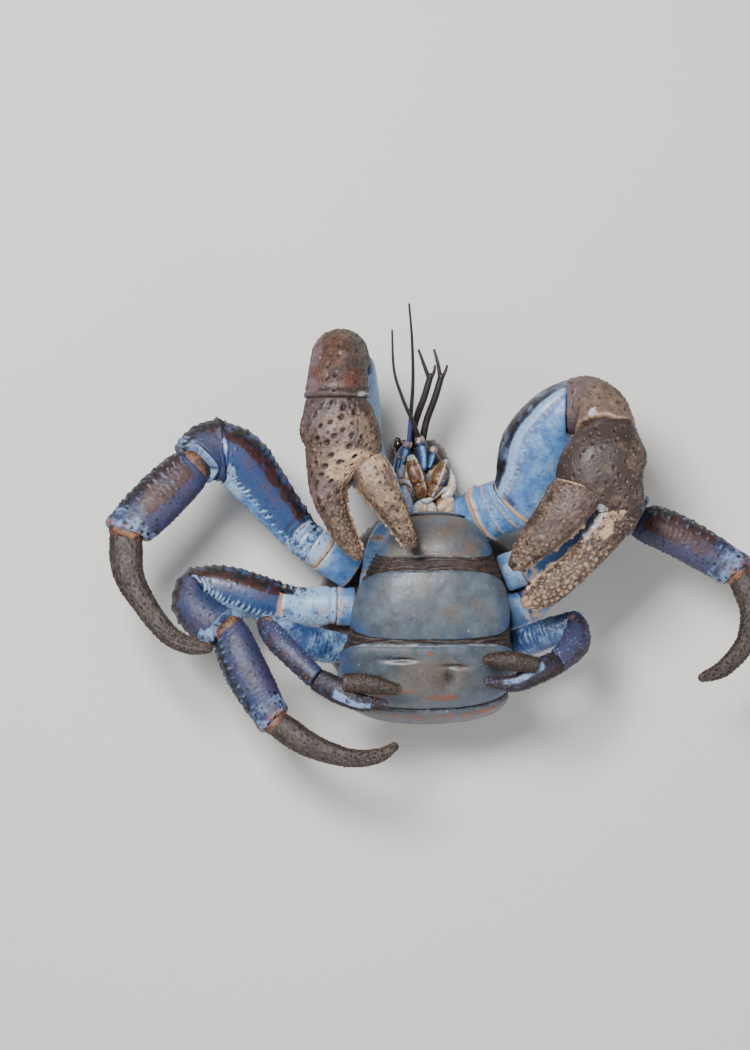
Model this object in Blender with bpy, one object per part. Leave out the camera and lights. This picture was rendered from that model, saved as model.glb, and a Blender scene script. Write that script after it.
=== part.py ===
"""Coconut crab lying on its back with the abdomen curled over the breast, life size.

X runs across the body towards the crab's left side, Y towards the head and Z up, away from the
floor. Lengths below are in millimetres and are turned to metres where each mesh is made.
"""

import bpy
import bmesh
import math
import numpy as np
from mathutils import Vector

MM = 0.001
GAP = 0.3

# Driving sizes of the trunk
CARAPACE_TOP = 42.0
STERNUM_TOP = 60.0
PLATE_THICKNESS = 3.2
FOLD_DEPTH = 0.6
# Ways of the joints where each claw turns back on its arm
CARPUS_WAY_R = (0, 0.75, 0.65)
CARPUS_WAY_L = (1, 0, 0.2)
PALM_WAY_L = (0.15, -1, 0.4)
LIMB_SIDES = 12
LIMB_STATIONS = 8
# Degrees by which neighbouring scales of a row stand off it, by turns to either side
SCALE_SWAY = 5

COLOURS = {
    "carapace": (0.16, 0.10, 0.10),
    "blue": (0.16, 0.30, 0.62),
    "plate": (0.14, 0.19, 0.22),
    "claw": (0.22, 0.14, 0.11),
    "joint": (0.62, 0.47, 0.33),
    "violet": (0.20, 0.19, 0.34),
    "dactyl": (0.20, 0.16, 0.14),
    "membrane": (0.10, 0.05, 0.04),
    "feeler": (0.03, 0.02, 0.02),
    "eye": (0.12, 0.03, 0.02),
}
ROUGHNESS = {"plate": 0.35, "eye": 0.2, "blue": 0.4, "claw": 0.6, "dactyl": 0.75}

# Shape of each node as it was first made, before its neighbours cut it back
first_shapes = {}
# Stations of each limb node, where its rows of scales find their places
limb_tables = {}

for old in list(bpy.data.objects):
    bpy.data.objects.remove(old, do_unlink=True)


def shell_material(kind):
    """One principled material for each kind of shell, made on first use."""
    found = bpy.data.materials.get(kind)
    if found:
        return found
    made = bpy.data.materials.new(kind)
    made.use_nodes = True
    shader = made.node_tree.nodes["Principled BSDF"]
    shader.inputs["Base Color"].default_value = (*COLOURS[kind], 1.0)
    shader.inputs["Roughness"].default_value = ROUGHNESS.get(kind, 0.5)
    shader.inputs["Metallic"].default_value = 0.0
    return made


def new_object(name, bm, kind=None):
    """Turn a bmesh in millimetres into an object in metres, smooth where it is round."""
    bmesh.ops.scale(bm, vec=(MM, MM, MM), verts=bm.verts)
    bmesh.ops.recalc_face_normals(bm, faces=bm.faces)
    mesh = bpy.data.meshes.new(name)
    bm.to_mesh(mesh)
    bm.free()
    mesh.shade_smooth()
    mesh.set_sharp_from_angle(angle=math.radians(40))
    made = bpy.data.objects.new(name, mesh)
    bpy.context.scene.collection.objects.link(made)
    if kind:
        mesh.materials.append(shell_material(kind))
        first_shapes[name] = mesh.copy()
    return made


def closed_rings(rings):
    """Skin a list of equal rings and close both ends."""
    bm = bmesh.new()
    loops = [[bm.verts.new(p) for p in ring] for ring in rings]
    count = len(loops[0])
    for low, high in zip(loops, loops[1:]):
        for i in range(count):
            j = (i + 1) % count
            bm.faces.new((low[i], low[j], high[j], high[i]))
    bm.faces.new(list(reversed(loops[0])))
    bm.faces.new(loops[-1])
    bmesh.ops.triangulate(bm, faces=bm.faces)
    return bm


def smooth_through(table, t):
    """Value at t on an eased curve through rows of (position, value, ...)."""
    rows = np.array(table, float)
    t = min(max(t, rows[0, 0]), rows[-1, 0])
    k = int(np.clip(np.searchsorted(rows[:, 0], t) - 1, 0, len(rows) - 2))
    span = rows[k + 1, 0] - rows[k, 0]
    u = (t - rows[k, 0]) / span
    before = rows[max(k - 1, 0)]
    after = rows[min(k + 2, len(rows) - 1)]
    m0 = (rows[k + 1, 1:] - before[1:]) / max(rows[k + 1, 0] - before[0], 1e-6) * span
    m1 = (after[1:] - rows[k, 1:]) / max(after[0] - rows[k, 0], 1e-6) * span
    a = 2 * u**3 - 3 * u**2 + 1
    b = u**3 - 2 * u**2 + u
    c = -2 * u**3 + 3 * u**2
    d = u**3 - u**2
    return a * rows[k, 1:] + b * m0 + c * rows[k + 1, 1:] + d * m1


def oval_ring(centre, side, top, half_width, half_depth, count, power=2.3):
    """Ring of a rounded oval, starting on its side."""
    ring = []
    for i in range(count):
        a = 2 * math.pi * i / count
        x = math.copysign(abs(math.cos(a)) ** (2 / power), math.cos(a))
        y = math.copysign(abs(math.sin(a)) ** (2 / power), math.sin(a))
        ring.append(centre + side * (half_width * x) + top * (half_depth * y))
    return ring


def limb_rings(table, start_way, end_way, up=(0, 0, 1), sides=LIMB_SIDES,
               stations=LIMB_STATIONS, power=2.3, keels=None, collar=None):
    """Rings of one limb segment, square to its joint at each end.

    A table row is one station: X, Y, Z, half width and half depth. keels maps a place round the
    ring to the height of a ridge that runs along it, and collar is the number and the height of
    one ring that stands proud.
    """
    keels = keels or {}
    rows = [(k, *row) for k, row in enumerate(table)]
    last = len(table) - 1
    ways = (Vector(start_way).normalized(), Vector(end_way).normalized())
    rings = []
    for k in range(stations):
        t = last * k / (stations - 1)
        x, y, z, half_width, half_depth = smooth_through(rows, t)
        centre = Vector((x, y, z))
        ahead = Vector(smooth_through(rows, min(t + 0.1, last))[:3])
        behind = Vector(smooth_through(rows, max(t - 0.1, 0))[:3])
        along = (ahead - behind).normalized()
        share = t / last
        if share < 0.25:
            along = ways[0].lerp(along, share / 0.25).normalized()
        elif share > 0.75:
            along = ways[1].lerp(along, (1 - share) / 0.25).normalized()
        if k == 0:
            centre += along * GAP / 2
        elif k == stations - 1:
            centre -= along * GAP / 2
        side = along.cross(Vector(up)).normalized()
        top = side.cross(along).normalized()
        ring = oval_ring(centre, side, top, half_width, half_depth, sides, power)
        if 0 < k < stations - 1:
            for place, height in keels.items():
                ring[place] += (ring[place] - centre).normalized() * height
        if collar and k == collar[0]:
            ring = [p + (p - centre).normalized() * collar[1] for p in ring]
        rings.append(ring)
    return rings


def limb(name, kind, table, start_way=None, end_way=None, **shape):
    """One limb segment as an object, by default square to its own first and last stretch."""
    first = Vector(table[1][:3]) - Vector(table[0][:3])
    final = Vector(table[-1][:3]) - Vector(table[-2][:3])
    limb_tables[name] = table
    rings = limb_rings(table, start_way or first, end_way or final, **shape)
    return new_object(name, closed_rings(rings), kind)


def chain(prefix, parts, ways=None):
    """Segments that follow one another, each joint square to the turn between its two segments.

    parts rows are (name, kind of shell, table, other shape settings), and ways gives the way of
    the joint past a named segment where it is set by hand.
    """
    ways = ways or {}
    made = {}
    firsts = [(Vector(t[1][:3]) - Vector(t[0][:3])).normalized() for _, _, t, _ in parts]
    finals = [(Vector(t[-1][:3]) - Vector(t[-2][:3])).normalized() for _, _, t, _ in parts]
    for k, (name, kind, table, shape) in enumerate(parts):
        before = ways.get(parts[k - 1][0]) if k else firsts[k]
        start_way = before or finals[k - 1] + firsts[k]
        after = finals[k] if k == len(parts) - 1 else finals[k] + firsts[k + 1]
        end_way = ways.get(name, after)
        made[name] = limb(f"{prefix}_{name}", kind, table, start_way, end_way, **shape)
    return made


def knob(centre, radius, way=(0, 0, 1), height=None, sides=6):
    """Blunt cone with its root sunk by half its radius."""
    bm = bmesh.new()
    tall = height or radius * 1.5
    axis = Vector(way).normalized()
    turn = Vector((0, 0, 1)).rotation_difference(axis).to_matrix().to_4x4()
    bmesh.ops.create_cone(bm, cap_ends=True, segments=sides, radius1=radius,
                          radius2=radius * 0.35, depth=tall)
    bmesh.ops.transform(bm, matrix=turn, verts=bm.verts)
    bmesh.ops.translate(bm, vec=Vector(centre) + axis * (tall * 0.5 - radius * 0.6), verts=bm.verts)
    return new_object("knob", bm)


def skin_place(table, share, angle, up=(0, 0, 1), power=2.3):
    """Point on a limb's skin at a share of its length and an angle round it, and its way out."""
    rows = [(k, *row) for k, row in enumerate(table)]
    last = len(table) - 1
    t = share * last
    x, y, z, half_width, half_depth = smooth_through(rows, t)
    ahead = Vector(smooth_through(rows, min(t + 0.1, last))[:3])
    behind = Vector(smooth_through(rows, max(t - 0.1, 0))[:3])
    along = (ahead - behind).normalized()
    side = along.cross(Vector(up)).normalized()
    top = side.cross(along).normalized()
    a = math.radians(angle)
    across = math.copysign(abs(math.cos(a)) ** (2 / power), math.cos(a))
    over = math.copysign(abs(math.sin(a)) ** (2 / power), math.sin(a))
    point = Vector((x, y, z)) + side * (half_width * across) + top * (half_depth * over)
    out = side * math.cos(a) * half_depth + top * math.sin(a) * half_width
    return point, out.normalized()


def scale_rows(name, rows, table=None, **place):
    """Fuse rows of blunt scales or warts with a limb.

    rows are (angle, low share, high share, count, radius), and every second scale is smaller.
    """
    target = bpy.data.objects[name]
    table = table or limb_tables[name]
    scales = []
    for angle, low, high, count, radius in rows:
        for k in range(count):
            share = low + (high - low) * k / max(count - 1, 1)
            turn = angle + SCALE_SWAY * (1 if k % 2 else -1)
            size = radius * (0.82 if k % 2 else 1.0)
            point, out = skin_place(table, share, turn, **place)
            scales.append(knob(point, size, out, size * 1.35, sides=5))
    join(target, scales)


def keep_largest(target):
    """Drop every closed surface of a mesh but the one that reaches furthest."""
    bm = bmesh.new()
    bm.from_mesh(target.data)
    bmesh.ops.remove_doubles(bm, verts=bm.verts, dist=0.00001)
    bmesh.ops.triangulate(bm, faces=bm.faces)
    left = set(bm.faces)
    groups = []
    while left:
        seed = left.pop()
        group = {seed}
        stack = [seed]
        while stack:
            for edge in stack.pop().edges:
                for face in edge.link_faces:
                    if face in left:
                        left.discard(face)
                        group.add(face)
                        stack.append(face)
        groups.append(group)
    groups.sort(key=lambda g: sum(f.calc_area() for f in g), reverse=True)
    for group in groups[1:]:
        bmesh.ops.delete(bm, geom=list(group), context="FACES")
    bmesh.ops.delete(bm, geom=[v for v in bm.verts if not v.link_faces], context="VERTS")
    bm.to_mesh(target.data)
    bm.free()
    target.data.shade_smooth()
    target.data.set_sharp_from_angle(angle=math.radians(40))


def boolean(target, others, operation):
    """Apply one Boolean with a collection of closed meshes and remove them."""
    pool = bpy.data.collections.new("operands")
    for other in others:
        for home in list(other.users_collection):
            home.objects.unlink(other)
        pool.objects.link(other)
    bpy.context.scene.collection.children.link(pool)
    cut = target.modifiers.new("join", "BOOLEAN")
    cut.operand_type = "COLLECTION"
    cut.collection = pool
    cut.operation = operation
    cut.solver = "EXACT"
    graph = bpy.context.evaluated_depsgraph_get()
    result = bpy.data.meshes.new_from_object(target.evaluated_get(graph))
    kinds = [m for m in target.data.materials if m]
    target.modifiers.clear()
    target.data = result
    result.materials.clear()
    for kind in kinds:
        result.materials.append(kind)
    for other in list(pool.objects):
        bpy.data.objects.remove(other, do_unlink=True)
    bpy.data.collections.remove(pool)
    keep_largest(target)


def join(target, others):
    """Fuse pieces with the node that they grow from."""
    boolean(target, others, "UNION")
    first_shapes.pop(target.name, None)


def grown_copy(source, gap=GAP):
    """Copy of a node that stands proud of it by the touching gap."""
    bm = bmesh.new()
    bm.from_mesh(first_shapes.get(source.name, source.data))
    bm.normal_update()
    shifts = [v.normal * gap * MM * min(v.calc_shell_factor(), 2.5) for v in bm.verts]
    for vert, shift in zip(bm.verts, shifts):
        vert.co += shift
    mesh = bpy.data.meshes.new("cutter")
    bm.to_mesh(mesh)
    bm.free()
    cutter = bpy.data.objects.new("cutter", mesh)
    bpy.context.scene.collection.objects.link(cutter)
    return cutter


def clear_of(target, *neighbours):
    """Cut a node back from its neighbours so that they meet face to face."""
    for neighbour in neighbours:
        boolean(target, [grown_copy(neighbour)], "DIFFERENCE")


# Trunk


def carapace():
    """Dorsal shell: pointed front shield, cervical waist and two swollen gill regions."""
    rows = [
        (-86, 26, 30, 14), (-80, 40, 40, 7), (-66, 54, 42, 2), (-44, 63, 42, 0), (-20, 64, 42, 0),
        (0, 54, 42, 0), (14, 38, 42, 1), (26, 24, 42, 3), (38, 19.5, 42, 6), (52, 18.5, 42, 10),
        (60, 17.6, 41, 15), (66, 14.5, 39, 21), (70.5, 8, 36, 26),
    ]
    rings = []
    for y, half_width, high, low in rows:
        ring = []
        for i in range(24):
            a = 2 * math.pi * i / 24
            lean = head_middle(y) + 1 if y > 28 else 0
            x = half_width * math.copysign(abs(math.cos(a)) ** 0.78, math.cos(a)) + lean
            middle = low + (high - low) * 0.55
            if math.sin(a) > 0:
                z = middle + (high - middle) * math.sin(a) ** 0.6
            else:
                groove = 2.4 * math.exp(-((x / 7.0) ** 2)) * (1 if y < 12 else 0)
                depth = abs(math.sin(a)) ** 0.72
                z = middle - (middle - low) * depth + groove
            ring.append(Vector((x, y, max(z, 0.0))))
        rings.append(ring)
    return new_object("carapace", closed_rings(rings), "carapace")


def sternum():
    """Breast plates that carry the legs, on the open side of the shell."""
    rows = [(-58, 27), (-40, 33), (-15, 34), (10, 29), (24, 20), (31, 12)]
    base = CARAPACE_TOP + GAP + 0.1
    rings = []
    for y, half_width in rows:
        ring = [
            Vector((half_width + 7, y, base)),
            Vector((half_width + 5, y, CARAPACE_TOP + 8)),
            Vector((half_width - 2, y, STERNUM_TOP - 2)),
            Vector((half_width * 0.5, y, STERNUM_TOP)),
            Vector((0, y, STERNUM_TOP - 1)),
            Vector((-half_width * 0.5, y, STERNUM_TOP)),
            Vector((2 - half_width, y, STERNUM_TOP - 2)),
            Vector((-half_width - 5, y, CARAPACE_TOP + 8)),
            Vector((-half_width - 7, y, base)),
        ]
        rings.append(ring)
    return new_object("sternum", closed_rings(rings), "blue")


# Abdomen: rows of outer Y and Z, inner Y and Z, half width and midline X
ABDOMEN = [
    (0, -86, 22, -62, 46, 36, 0), (1, -93, 42, -62, 56, 42, 0), (2, -92, 62, -60, 62, 46, -1),
    (3, -85, 79, -58, 65, 48, -2), (4, -73, 92, -54, 66, 49, -2), (5, -59, 100, -48, 66, 48, -1),
    (6, -44, 104, -40, 65, 45, 0), (7, -25, 106, -24, 64, 43, 1), (8, -6, 105, -8, 64, 37, 2),
    (9, 9, 102, 3, 64, 31, 3), (10, 19, 96, 11, 64, 25, 3), (11, 25, 88, 16, 65, 19, 3),
    (12, 26, 79, 19, 68, 12, 3),
]


def abdomen_point(v, angle, rise):
    """Point on the abdomen at station v and angle round it, rise millimetres outside its skin."""
    outer_y, outer_z, inner_y, inner_z, half_width, middle = smooth_through(ABDOMEN, v)
    outer = Vector((middle, outer_y, outer_z))
    inner = Vector((middle, inner_y, inner_z))
    centre = (outer + inner) / 2
    top = (outer - inner) / 2
    half_depth = top.length
    x = math.copysign(abs(math.sin(angle)) ** 0.85, math.sin(angle)) * (half_width + rise)
    z = math.copysign(abs(math.cos(angle)) ** 0.85, math.cos(angle)) * (half_depth + rise)
    return centre + Vector((x, 0, 0)) + top.normalized() * z


def abdomen_core():
    """Soft wrinkled body under the plates."""
    rings = []
    for k in range(21):
        v = k * 0.6
        fold = -FOLD_DEPTH * (k % 2)
        rings.append([abdomen_point(v, 2 * math.pi * i / 18, fold) for i in range(18)])
    return new_object("abdomen_soft", closed_rings(rings), "membrane")


def tergite(name, first, last, spread, corner, steps_along=6, steps_across=14, crown=0.0):
    """Hard plate bent over the abdomen, with a rounded outline."""
    rows_out = []
    rows_in = []
    for i in range(steps_across + 1):
        across = -1 + 2 * i / steps_across
        angle = across * math.radians(spread)
        trim = (1 - abs(across) ** corner) ** (1 / corner)
        trim = max(trim, 0.35)
        middle = (first + last) / 2 + crown * across * across
        half = (last - first) / 2 * trim
        out = []
        inside = []
        for j in range(steps_along + 1):
            w = -1 + 2 * j / steps_along
            v = middle + half * w
            edge = max(abs(w), abs(across)) ** 6
            out.append(abdomen_point(v, angle, PLATE_THICKNESS - 1.6 * edge))
            inside.append(abdomen_point(v, angle, GAP * 1.6))
        rows_out.append(out)
        rows_in.append(inside)
    bm = bmesh.new()
    top = [[bm.verts.new(p) for p in row] for row in rows_out]
    low = [[bm.verts.new(p) for p in row] for row in rows_in]
    for grid, flip in ((top, False), (low, True)):
        for i in range(steps_across):
            for j in range(steps_along):
                corners = (grid[i][j], grid[i + 1][j], grid[i + 1][j + 1], grid[i][j + 1])
                a, b, c, d = corners
                for tri in ((a, b, c), (a, c, d)):
                    bm.faces.new(tuple(reversed(tri)) if flip else tri)
    border = [(i, 0) for i in range(steps_across)]
    border += [(steps_across, j) for j in range(steps_along)]
    border += [(i, steps_along) for i in range(steps_across, 0, -1)]
    border += [(0, j) for j in range(steps_along, 0, -1)]
    for (i, j), (m, n) in zip(border, border[1:] + border[:1]):
        bm.faces.new((top[i][j], low[i][j], low[m][n]))
        bm.faces.new((top[i][j], low[m][n], top[m][n]))
    return new_object(name, bm, "plate")


# Head, tilted a little towards the crab's right


def head_middle(y):
    """Midline of the head at Y."""
    return -1 - 8 * (y - 28) / 41


# Stations of the mouthparts and feeler bases: X, Y, Z, half width and half depth
MAXILLIPEDS = {
    "r": [(-3.5, 34.5, 60.5, 3.3, 3.2), (-6.2, 42.5, 62.5, 5.4, 5.4), (-8.6, 51, 63, 5.6, 5.4),
          (-9.8, 58, 61.5, 2.8, 3.2)],
    "l": [(4, 34.5, 60.5, 3.3, 3.2), (5.8, 42, 62, 4.6, 5), (8.6, 50, 62.5, 4.2, 5),
          (10.6, 57, 60.5, 2.2, 3)],
}
ANTENNA_BASES = {
    "r": [(-16.8, 55, 51, 3.8, 4), (-14, 61.5, 54.5, 3.7, 3.8), (-11.4, 67, 57.5, 2, 2)],
    "l": [(-2.6, 51, 60, 2.5, 3.4), (-3, 60, 61, 3, 3.3), (-4.8, 69.5, 62, 2.4, 2.4)],
}


def head_parts():
    """Mouth frame, mouthparts, feeler bases and stalked eyes."""
    made = {}
    frame = [(27, 20, 54), (36, 18.5, 57), (46, 16.5, 57), (56, 14, 54), (64, 10, 48)]
    rings = []
    for y, half_width, high in frame:
        base = CARAPACE_TOP + GAP + 0.1
        centre = Vector((head_middle(y), y, (base + high) / 2))
        rings.append(oval_ring(centre, Vector((1, 0, 0)), Vector((0, 0, 1)), half_width,
                               (high - base) / 2, 16, 3.0))
    made["mouth_frame"] = new_object("mouth_frame", closed_rings(rings), "joint")
    for side, tag in ((-1, "r"), (1, "l")):
        made["maxilliped_" + tag] = limb("maxilliped_" + tag, "joint", MAXILLIPEDS[tag])
        made["antenna_base_" + tag] = limb("antenna_base_" + tag, "blue", ANTENNA_BASES[tag],
                                           sides=10, stations=6)
        made["eye_" + tag] = limb("eye_" + tag, "eye", [
            (-9.5 + side * 5, 55, 36, 3.0, 2.8), (-10 + side * 6, 61.5, 39, 3.2, 3.0),
            (-10.5 + side * 6.8, 67, 42, 3.7, 3.5), (-10.5 + side * 7.2, 70, 43.5, 1.8, 1.7)])
    return made


def feeler(name, points, thick, thin, kind="feeler"):
    """Thin tapering feeler through a few points, as a six-sided tube."""
    last = len(points) - 1
    table = []
    for k, point in enumerate(points):
        radius = thick + (thin - thick) * k / last
        table.append((*point, radius, radius))
    return limb(name, kind, table, sides=6, stations=last * 3 + 1, power=2.0)


def antennule(side, tag):
    """Long stem with a short two-pronged whip."""
    x = side * 3.2
    fork = (4 + x, 104, 60)
    stem = feeler("antennule_" + tag, [(-7 + x, 64.5, 48), (-4 + x, 80, 52), (1 + x, 94, 57),
                                       (4.5 + x, 106, 60.5)], 2.1, 1.9)
    outer = feeler("whip", [fork, (1.5 + x * 1.3, 113, 62), (-1 + x * 1.4, 121, 62)], 1.3, 0.6)
    inner = feeler("whip", [fork, (6.5 + x, 108, 61), (7.5 + x * 1.1, 112, 61)], 1.3, 0.6)
    join(stem, [outer, inner])
    return stem


# Limbs

# Stations of the claws: X, Y, Z, half width and half depth
CARPUS_R = [(-49, 111, 88, 16, 13.5), (-50, 115.5, 103, 15, 14), (-51, 110, 120, 15.5, 15),
            (-52, 89.5, 131, 17.5, 15.5)]
PALM_R = [(-52, 89.5, 131, 17.5, 15.5), (-50, 72, 131, 22, 18), (-48.5, 60.5, 131, 20.5, 17.5)]
FINGER_R = [(-51, 66, 131, 15.5, 15), (-55.5, 52, 131, 14, 14.5), (-56.5, 41, 131, 10.5, 12),
            (-54.5, 30, 130, 8, 10.5), (-49.5, 18, 129, 6.5, 8.5), (-44, 8, 128, 5, 6.5),
            (-40.5, 3, 127.5, 2, 3)]
THUMB_R = [(-37, 60.5, 131, 8.5, 11), (-32, 47, 132, 11.5, 12), (-24.5, 33.5, 132, 9, 10.5),
           (-18, 22, 131, 6.5, 8), (-13, 13, 130, 4.5, 5.5), (-11, 9, 130, 2, 2.5)]
CARPUS_L = [(79.5, 86.5, 90, 16, 16), (89.5, 89, 94, 14.5, 17), (97, 83, 102, 14.5, 17.5),
            (98, 72.5, 111, 16.8, 16.5)]
PALM_L = [(98, 72.5, 111, 17, 16.5), (96, 58, 116, 24, 19), (94.5, 44.5, 117, 25.5, 18)]
FINGER_L = [(106, 56, 115, 14, 16), (108, 39, 114, 11.5, 15), (101.5, 20, 111, 10, 13.5),
            (87.5, 2, 107, 8.5, 11.5), (71, -12.5, 106, 9, 10.5), (62, -20, 105, 7.5, 8.5),
            (55.5, -23.5, 105, 3.5, 4)]
THUMB_L = [(84.5, 42.5, 120, 15.5, 13.5), (78, 33.5, 121, 14, 14), (68, 20.5, 120, 12, 12.5),
           (56, 7.5, 116, 8.5, 9.5), (50, 1, 115, 5.5, 6.5), (47.5, -1.5, 114, 3, 3.5)]


def toothed(target, first, last, count, radius, way):
    """Row of blunt teeth along a finger's biting edge, larger and smaller by turns."""
    teeth = []
    for k in range(count):
        point = Vector(first).lerp(Vector(last), k / (count - 1))
        size = radius * (1.15 if k % 2 else 0.85)
        teeth.append(knob(point, size, way, radius * 1.8))
    join(target, teeth)


def great_claw_right():
    """Smaller claw, folded back over its own arm and hanging over the abdomen."""
    made = chain("cheliped_r", [
        ("ischium", "blue", [(-22, 35, 55, 9.5, 8), (-28.5, 43.5, 62, 11, 10),
                             (-36, 52, 69, 13.5, 12)], {}),
        ("merus", "blue", [(-36, 52, 69, 13.5, 12), (-46, 71, 76, 19.5, 14),
                           (-49.5, 94, 82, 21, 15), (-49, 111, 88, 18, 14)], {}),
    ], ways={"merus": CARPUS_WAY_R})
    made["carpus"] = limb("cheliped_r_carpus", "claw", CARPUS_R, CARPUS_WAY_R, (0, -1, 0.05),
                          up=(0, 1, 0.3), power=2.0, stations=7)
    palm = limb("cheliped_r_palm", "claw", PALM_R, (0, -1, 0.05), (0.15, -1, 0))
    finger = limb("finger", None, FINGER_R, sides=10, stations=10)
    join(palm, [finger])
    toothed(palm, (-46.5, 38, 131), (-43.5, 17, 129), 6, 2.0, (1, 0, 0))
    made["palm"] = palm
    dactylus = limb("cheliped_r_dactylus", "claw", THUMB_R, (0.15, -1, 0), stations=10)
    clear_of(dactylus, palm)
    toothed(dactylus, (-38, 40, 132), (-21, 15, 130), 7, 1.8, (-0.8, -0.6, 0))
    made["dactylus"] = dactylus
    return made


def great_claw_left():
    """Larger claw, held out to the side with its fingers turned in."""
    made = chain("cheliped_l", [
        ("ischium", "blue", [(22, 20, 56, 15, 8.5), (34, 27, 64, 16, 11), (48.5, 32, 72, 15.5, 13)],
         {"collar": (3, 1.2)}),
        ("merus", "blue", [(48.5, 32, 72, 15.5, 13), (56, 46.5, 76, 18.5, 15),
                           (61, 64, 82, 20, 16), (70, 76.5, 87, 19, 16.5),
                           (79.5, 86.5, 90, 16, 16)], {"keels": {4: 1.3}}),
    ], ways={"merus": CARPUS_WAY_L})
    made["carpus"] = limb("cheliped_l_carpus", "claw", CARPUS_L, CARPUS_WAY_L, PALM_WAY_L,
                          stations=6)
    palm = limb("cheliped_l_palm", "claw", PALM_L, PALM_WAY_L, (-0.24, -0.97, 0))
    finger = limb("finger", None, FINGER_L, sides=10, stations=12)
    join(palm, [finger])
    toothed(palm, (92, 13, 109), (66, -6, 106), 6, 2.6, (-0.6, 0.8, 0))
    made["palm"] = palm
    dactylus = limb("cheliped_l_dactylus", "claw", THUMB_L, (-0.24, -0.97, 0), stations=10)
    clear_of(dactylus, palm)
    toothed(dactylus, (84, 22, 117), (60, -1, 115), 6, 2.2, (0.6, -0.8, 0))
    made["dactylus"] = dactylus
    return made


def second_leg_right():
    return chain("leg2_r", [
        ("coxa", "blue", [(-44, -8, 52, 10.5, 8), (-60.5, 3, 58, 11, 9.5)], {"stations": 4}),
        ("merus", "blue", [(-60.5, 3, 58, 10.5, 9.5), (-75.5, 15.5, 61, 10.5, 10.5),
                           (-96, 41, 68, 14, 12.5), (-108.5, 56, 73, 16, 13),
                           (-118.5, 61.5, 76, 17, 13)], {}),
        ("carpus", "violet", [(-118.5, 61.5, 76, 17, 13), (-127, 60.5, 80, 15.5, 12.5),
                              (-134, 53, 86, 13, 11.5)], {"stations": 5}),
        ("propodus", "violet", [(-134, 53, 86, 12.5, 11), (-152.5, 34.5, 92, 14, 11.5),
                                (-171.5, 15, 97, 13, 10)], {}),
        ("dactylus", "dactyl", [(-171.5, 15, 97, 11, 8.5), (-170, -7, 101, 8.5, 8),
                                (-160, -25.5, 104, 6.5, 6.5), (-147, -41.5, 107, 5.5, 5.5),
                                (-134.5, -48, 110, 4.5, 4.5), (-124, -49.5, 112, 1.5, 1.8)],
         {"stations": 11}),
    ], ways={"merus": (-1, -0.15, 0.12)})


def third_leg_right():
    return chain("leg3_r", [
        ("coxa", "blue", [(-43, -28, 48, 11.5, 9), (-53.5, -27.5, 49, 11.5, 9.5)],
         {"stations": 3}),
        ("merus", "blue", [(-53.5, -27.5, 49, 11, 9.5), (-79, -27.5, 51, 10, 9),
                           (-100.5, -22.5, 54, 12, 11.5), (-120, -16.5, 56, 11, 11),
                           (-137, -14, 58, 7.5, 9)], {}),
        ("carpus", "violet", [(-137, -14, 58, 7.5, 9), (-136, -26, 62, 11, 11),
                              (-126, -36, 66, 12, 11), (-114.5, -41, 70, 11, 10)], {"stations": 5}),
        ("propodus", "violet", [(-114.5, -41, 70, 10.5, 9.5), (-104, -64.5, 76, 12, 10.5),
                                (-87.5, -93, 82, 9.5, 8.5)], {}),
        ("dactylus", "dactyl", [(-87.5, -93, 82, 8.5, 7.5), (-69, -105, 87, 7, 6.5),
                                (-48, -112, 92, 5.2, 5), (-31, -111.5, 97, 4, 4.2),
                                (-19.5, -105.5, 100, 1.5, 1.8)], {"stations": 11}),
    ])


def second_leg_left():
    return chain("leg2_l", [
        ("coxa", "blue", [(44, -9, 50, 11, 9), (54.5, -5, 52, 11, 9.5)], {"stations": 3}),
        ("merus", "blue", [(54.5, -5, 52, 11, 9.5), (77, 8, 55, 13.5, 12), (93, 20, 58, 14.5, 12.5),
                           (102, 26, 60, 14.5, 12)], {}),
        ("carpus", "violet", [(102, 26, 60, 14.5, 12), (112.5, 28.5, 62, 12, 11.5),
                              (122, 22, 62, 10.5, 10.5)], {"stations": 5}),
        ("propodus", "violet", [(122, 22, 62, 10.5, 10.5), (145.5, 12, 66, 11.5, 11),
                                (179, -8, 70, 10.5, 9.5)], {}),
        ("dactylus", "dactyl", [(179, -8, 70, 8.5, 8), (185.5, -27.5, 76, 7, 7),
                                (181, -47, 83, 5.5, 5.8), (167.5, -61.5, 90, 4.5, 4.6),
                                (154.5, -67, 94, 1.5, 1.8)], {"stations": 11}),
    ])


def third_leg_left():
    """Folded under the larger claw, its knee low beside the shell."""
    return chain("leg3_l", [
        ("coxa", "blue", [(46, -32, 46, 11, 9), (56.5, -30, 44, 11, 9.5)], {"stations": 3}),
        ("merus", "blue", [(56.5, -30, 44, 10, 9.5), (74, -12, 37, 10.5, 10.5),
                           (91, 4, 30, 11, 10.5), (105, 20.5, 25, 10.5, 10)], {}),
        ("carpus", "violet", [(105, 20.5, 25, 10.5, 10), (110.5, 31, 22, 11, 10.5),
                              (110.5, 42, 22, 10.5, 10.5)], {"stations": 5}),
        ("propodus", "violet", [(110.5, 42, 22, 10.5, 10.5), (106, 62, 23, 11.5, 10.5),
                                (99, 84, 27, 10, 9)], {}),
        ("dactylus", "dactyl", [(99, 84, 27, 8.5, 7.8), (88, 93, 31, 6.5, 6.8),
                                (74, 91, 36, 5.5, 5.6), (62, 78, 41, 4.2, 4.4),
                                (58, 67, 44, 1.5, 1.8)], {"stations": 11}),
    ])


def small_pincer(prefix, palm, finger, dactylus):
    """Little bristly pincer that lies on the abdomen."""
    hand = bpy.data.objects[prefix + "_palm"]
    join(hand, [limb("finger", None, finger, sides=10, stations=6)])
    thumb = limb(prefix + "_dactylus", "dactyl", dactylus, sides=10, stations=6)
    clear_of(thumb, hand)
    return palm, thumb


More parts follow.
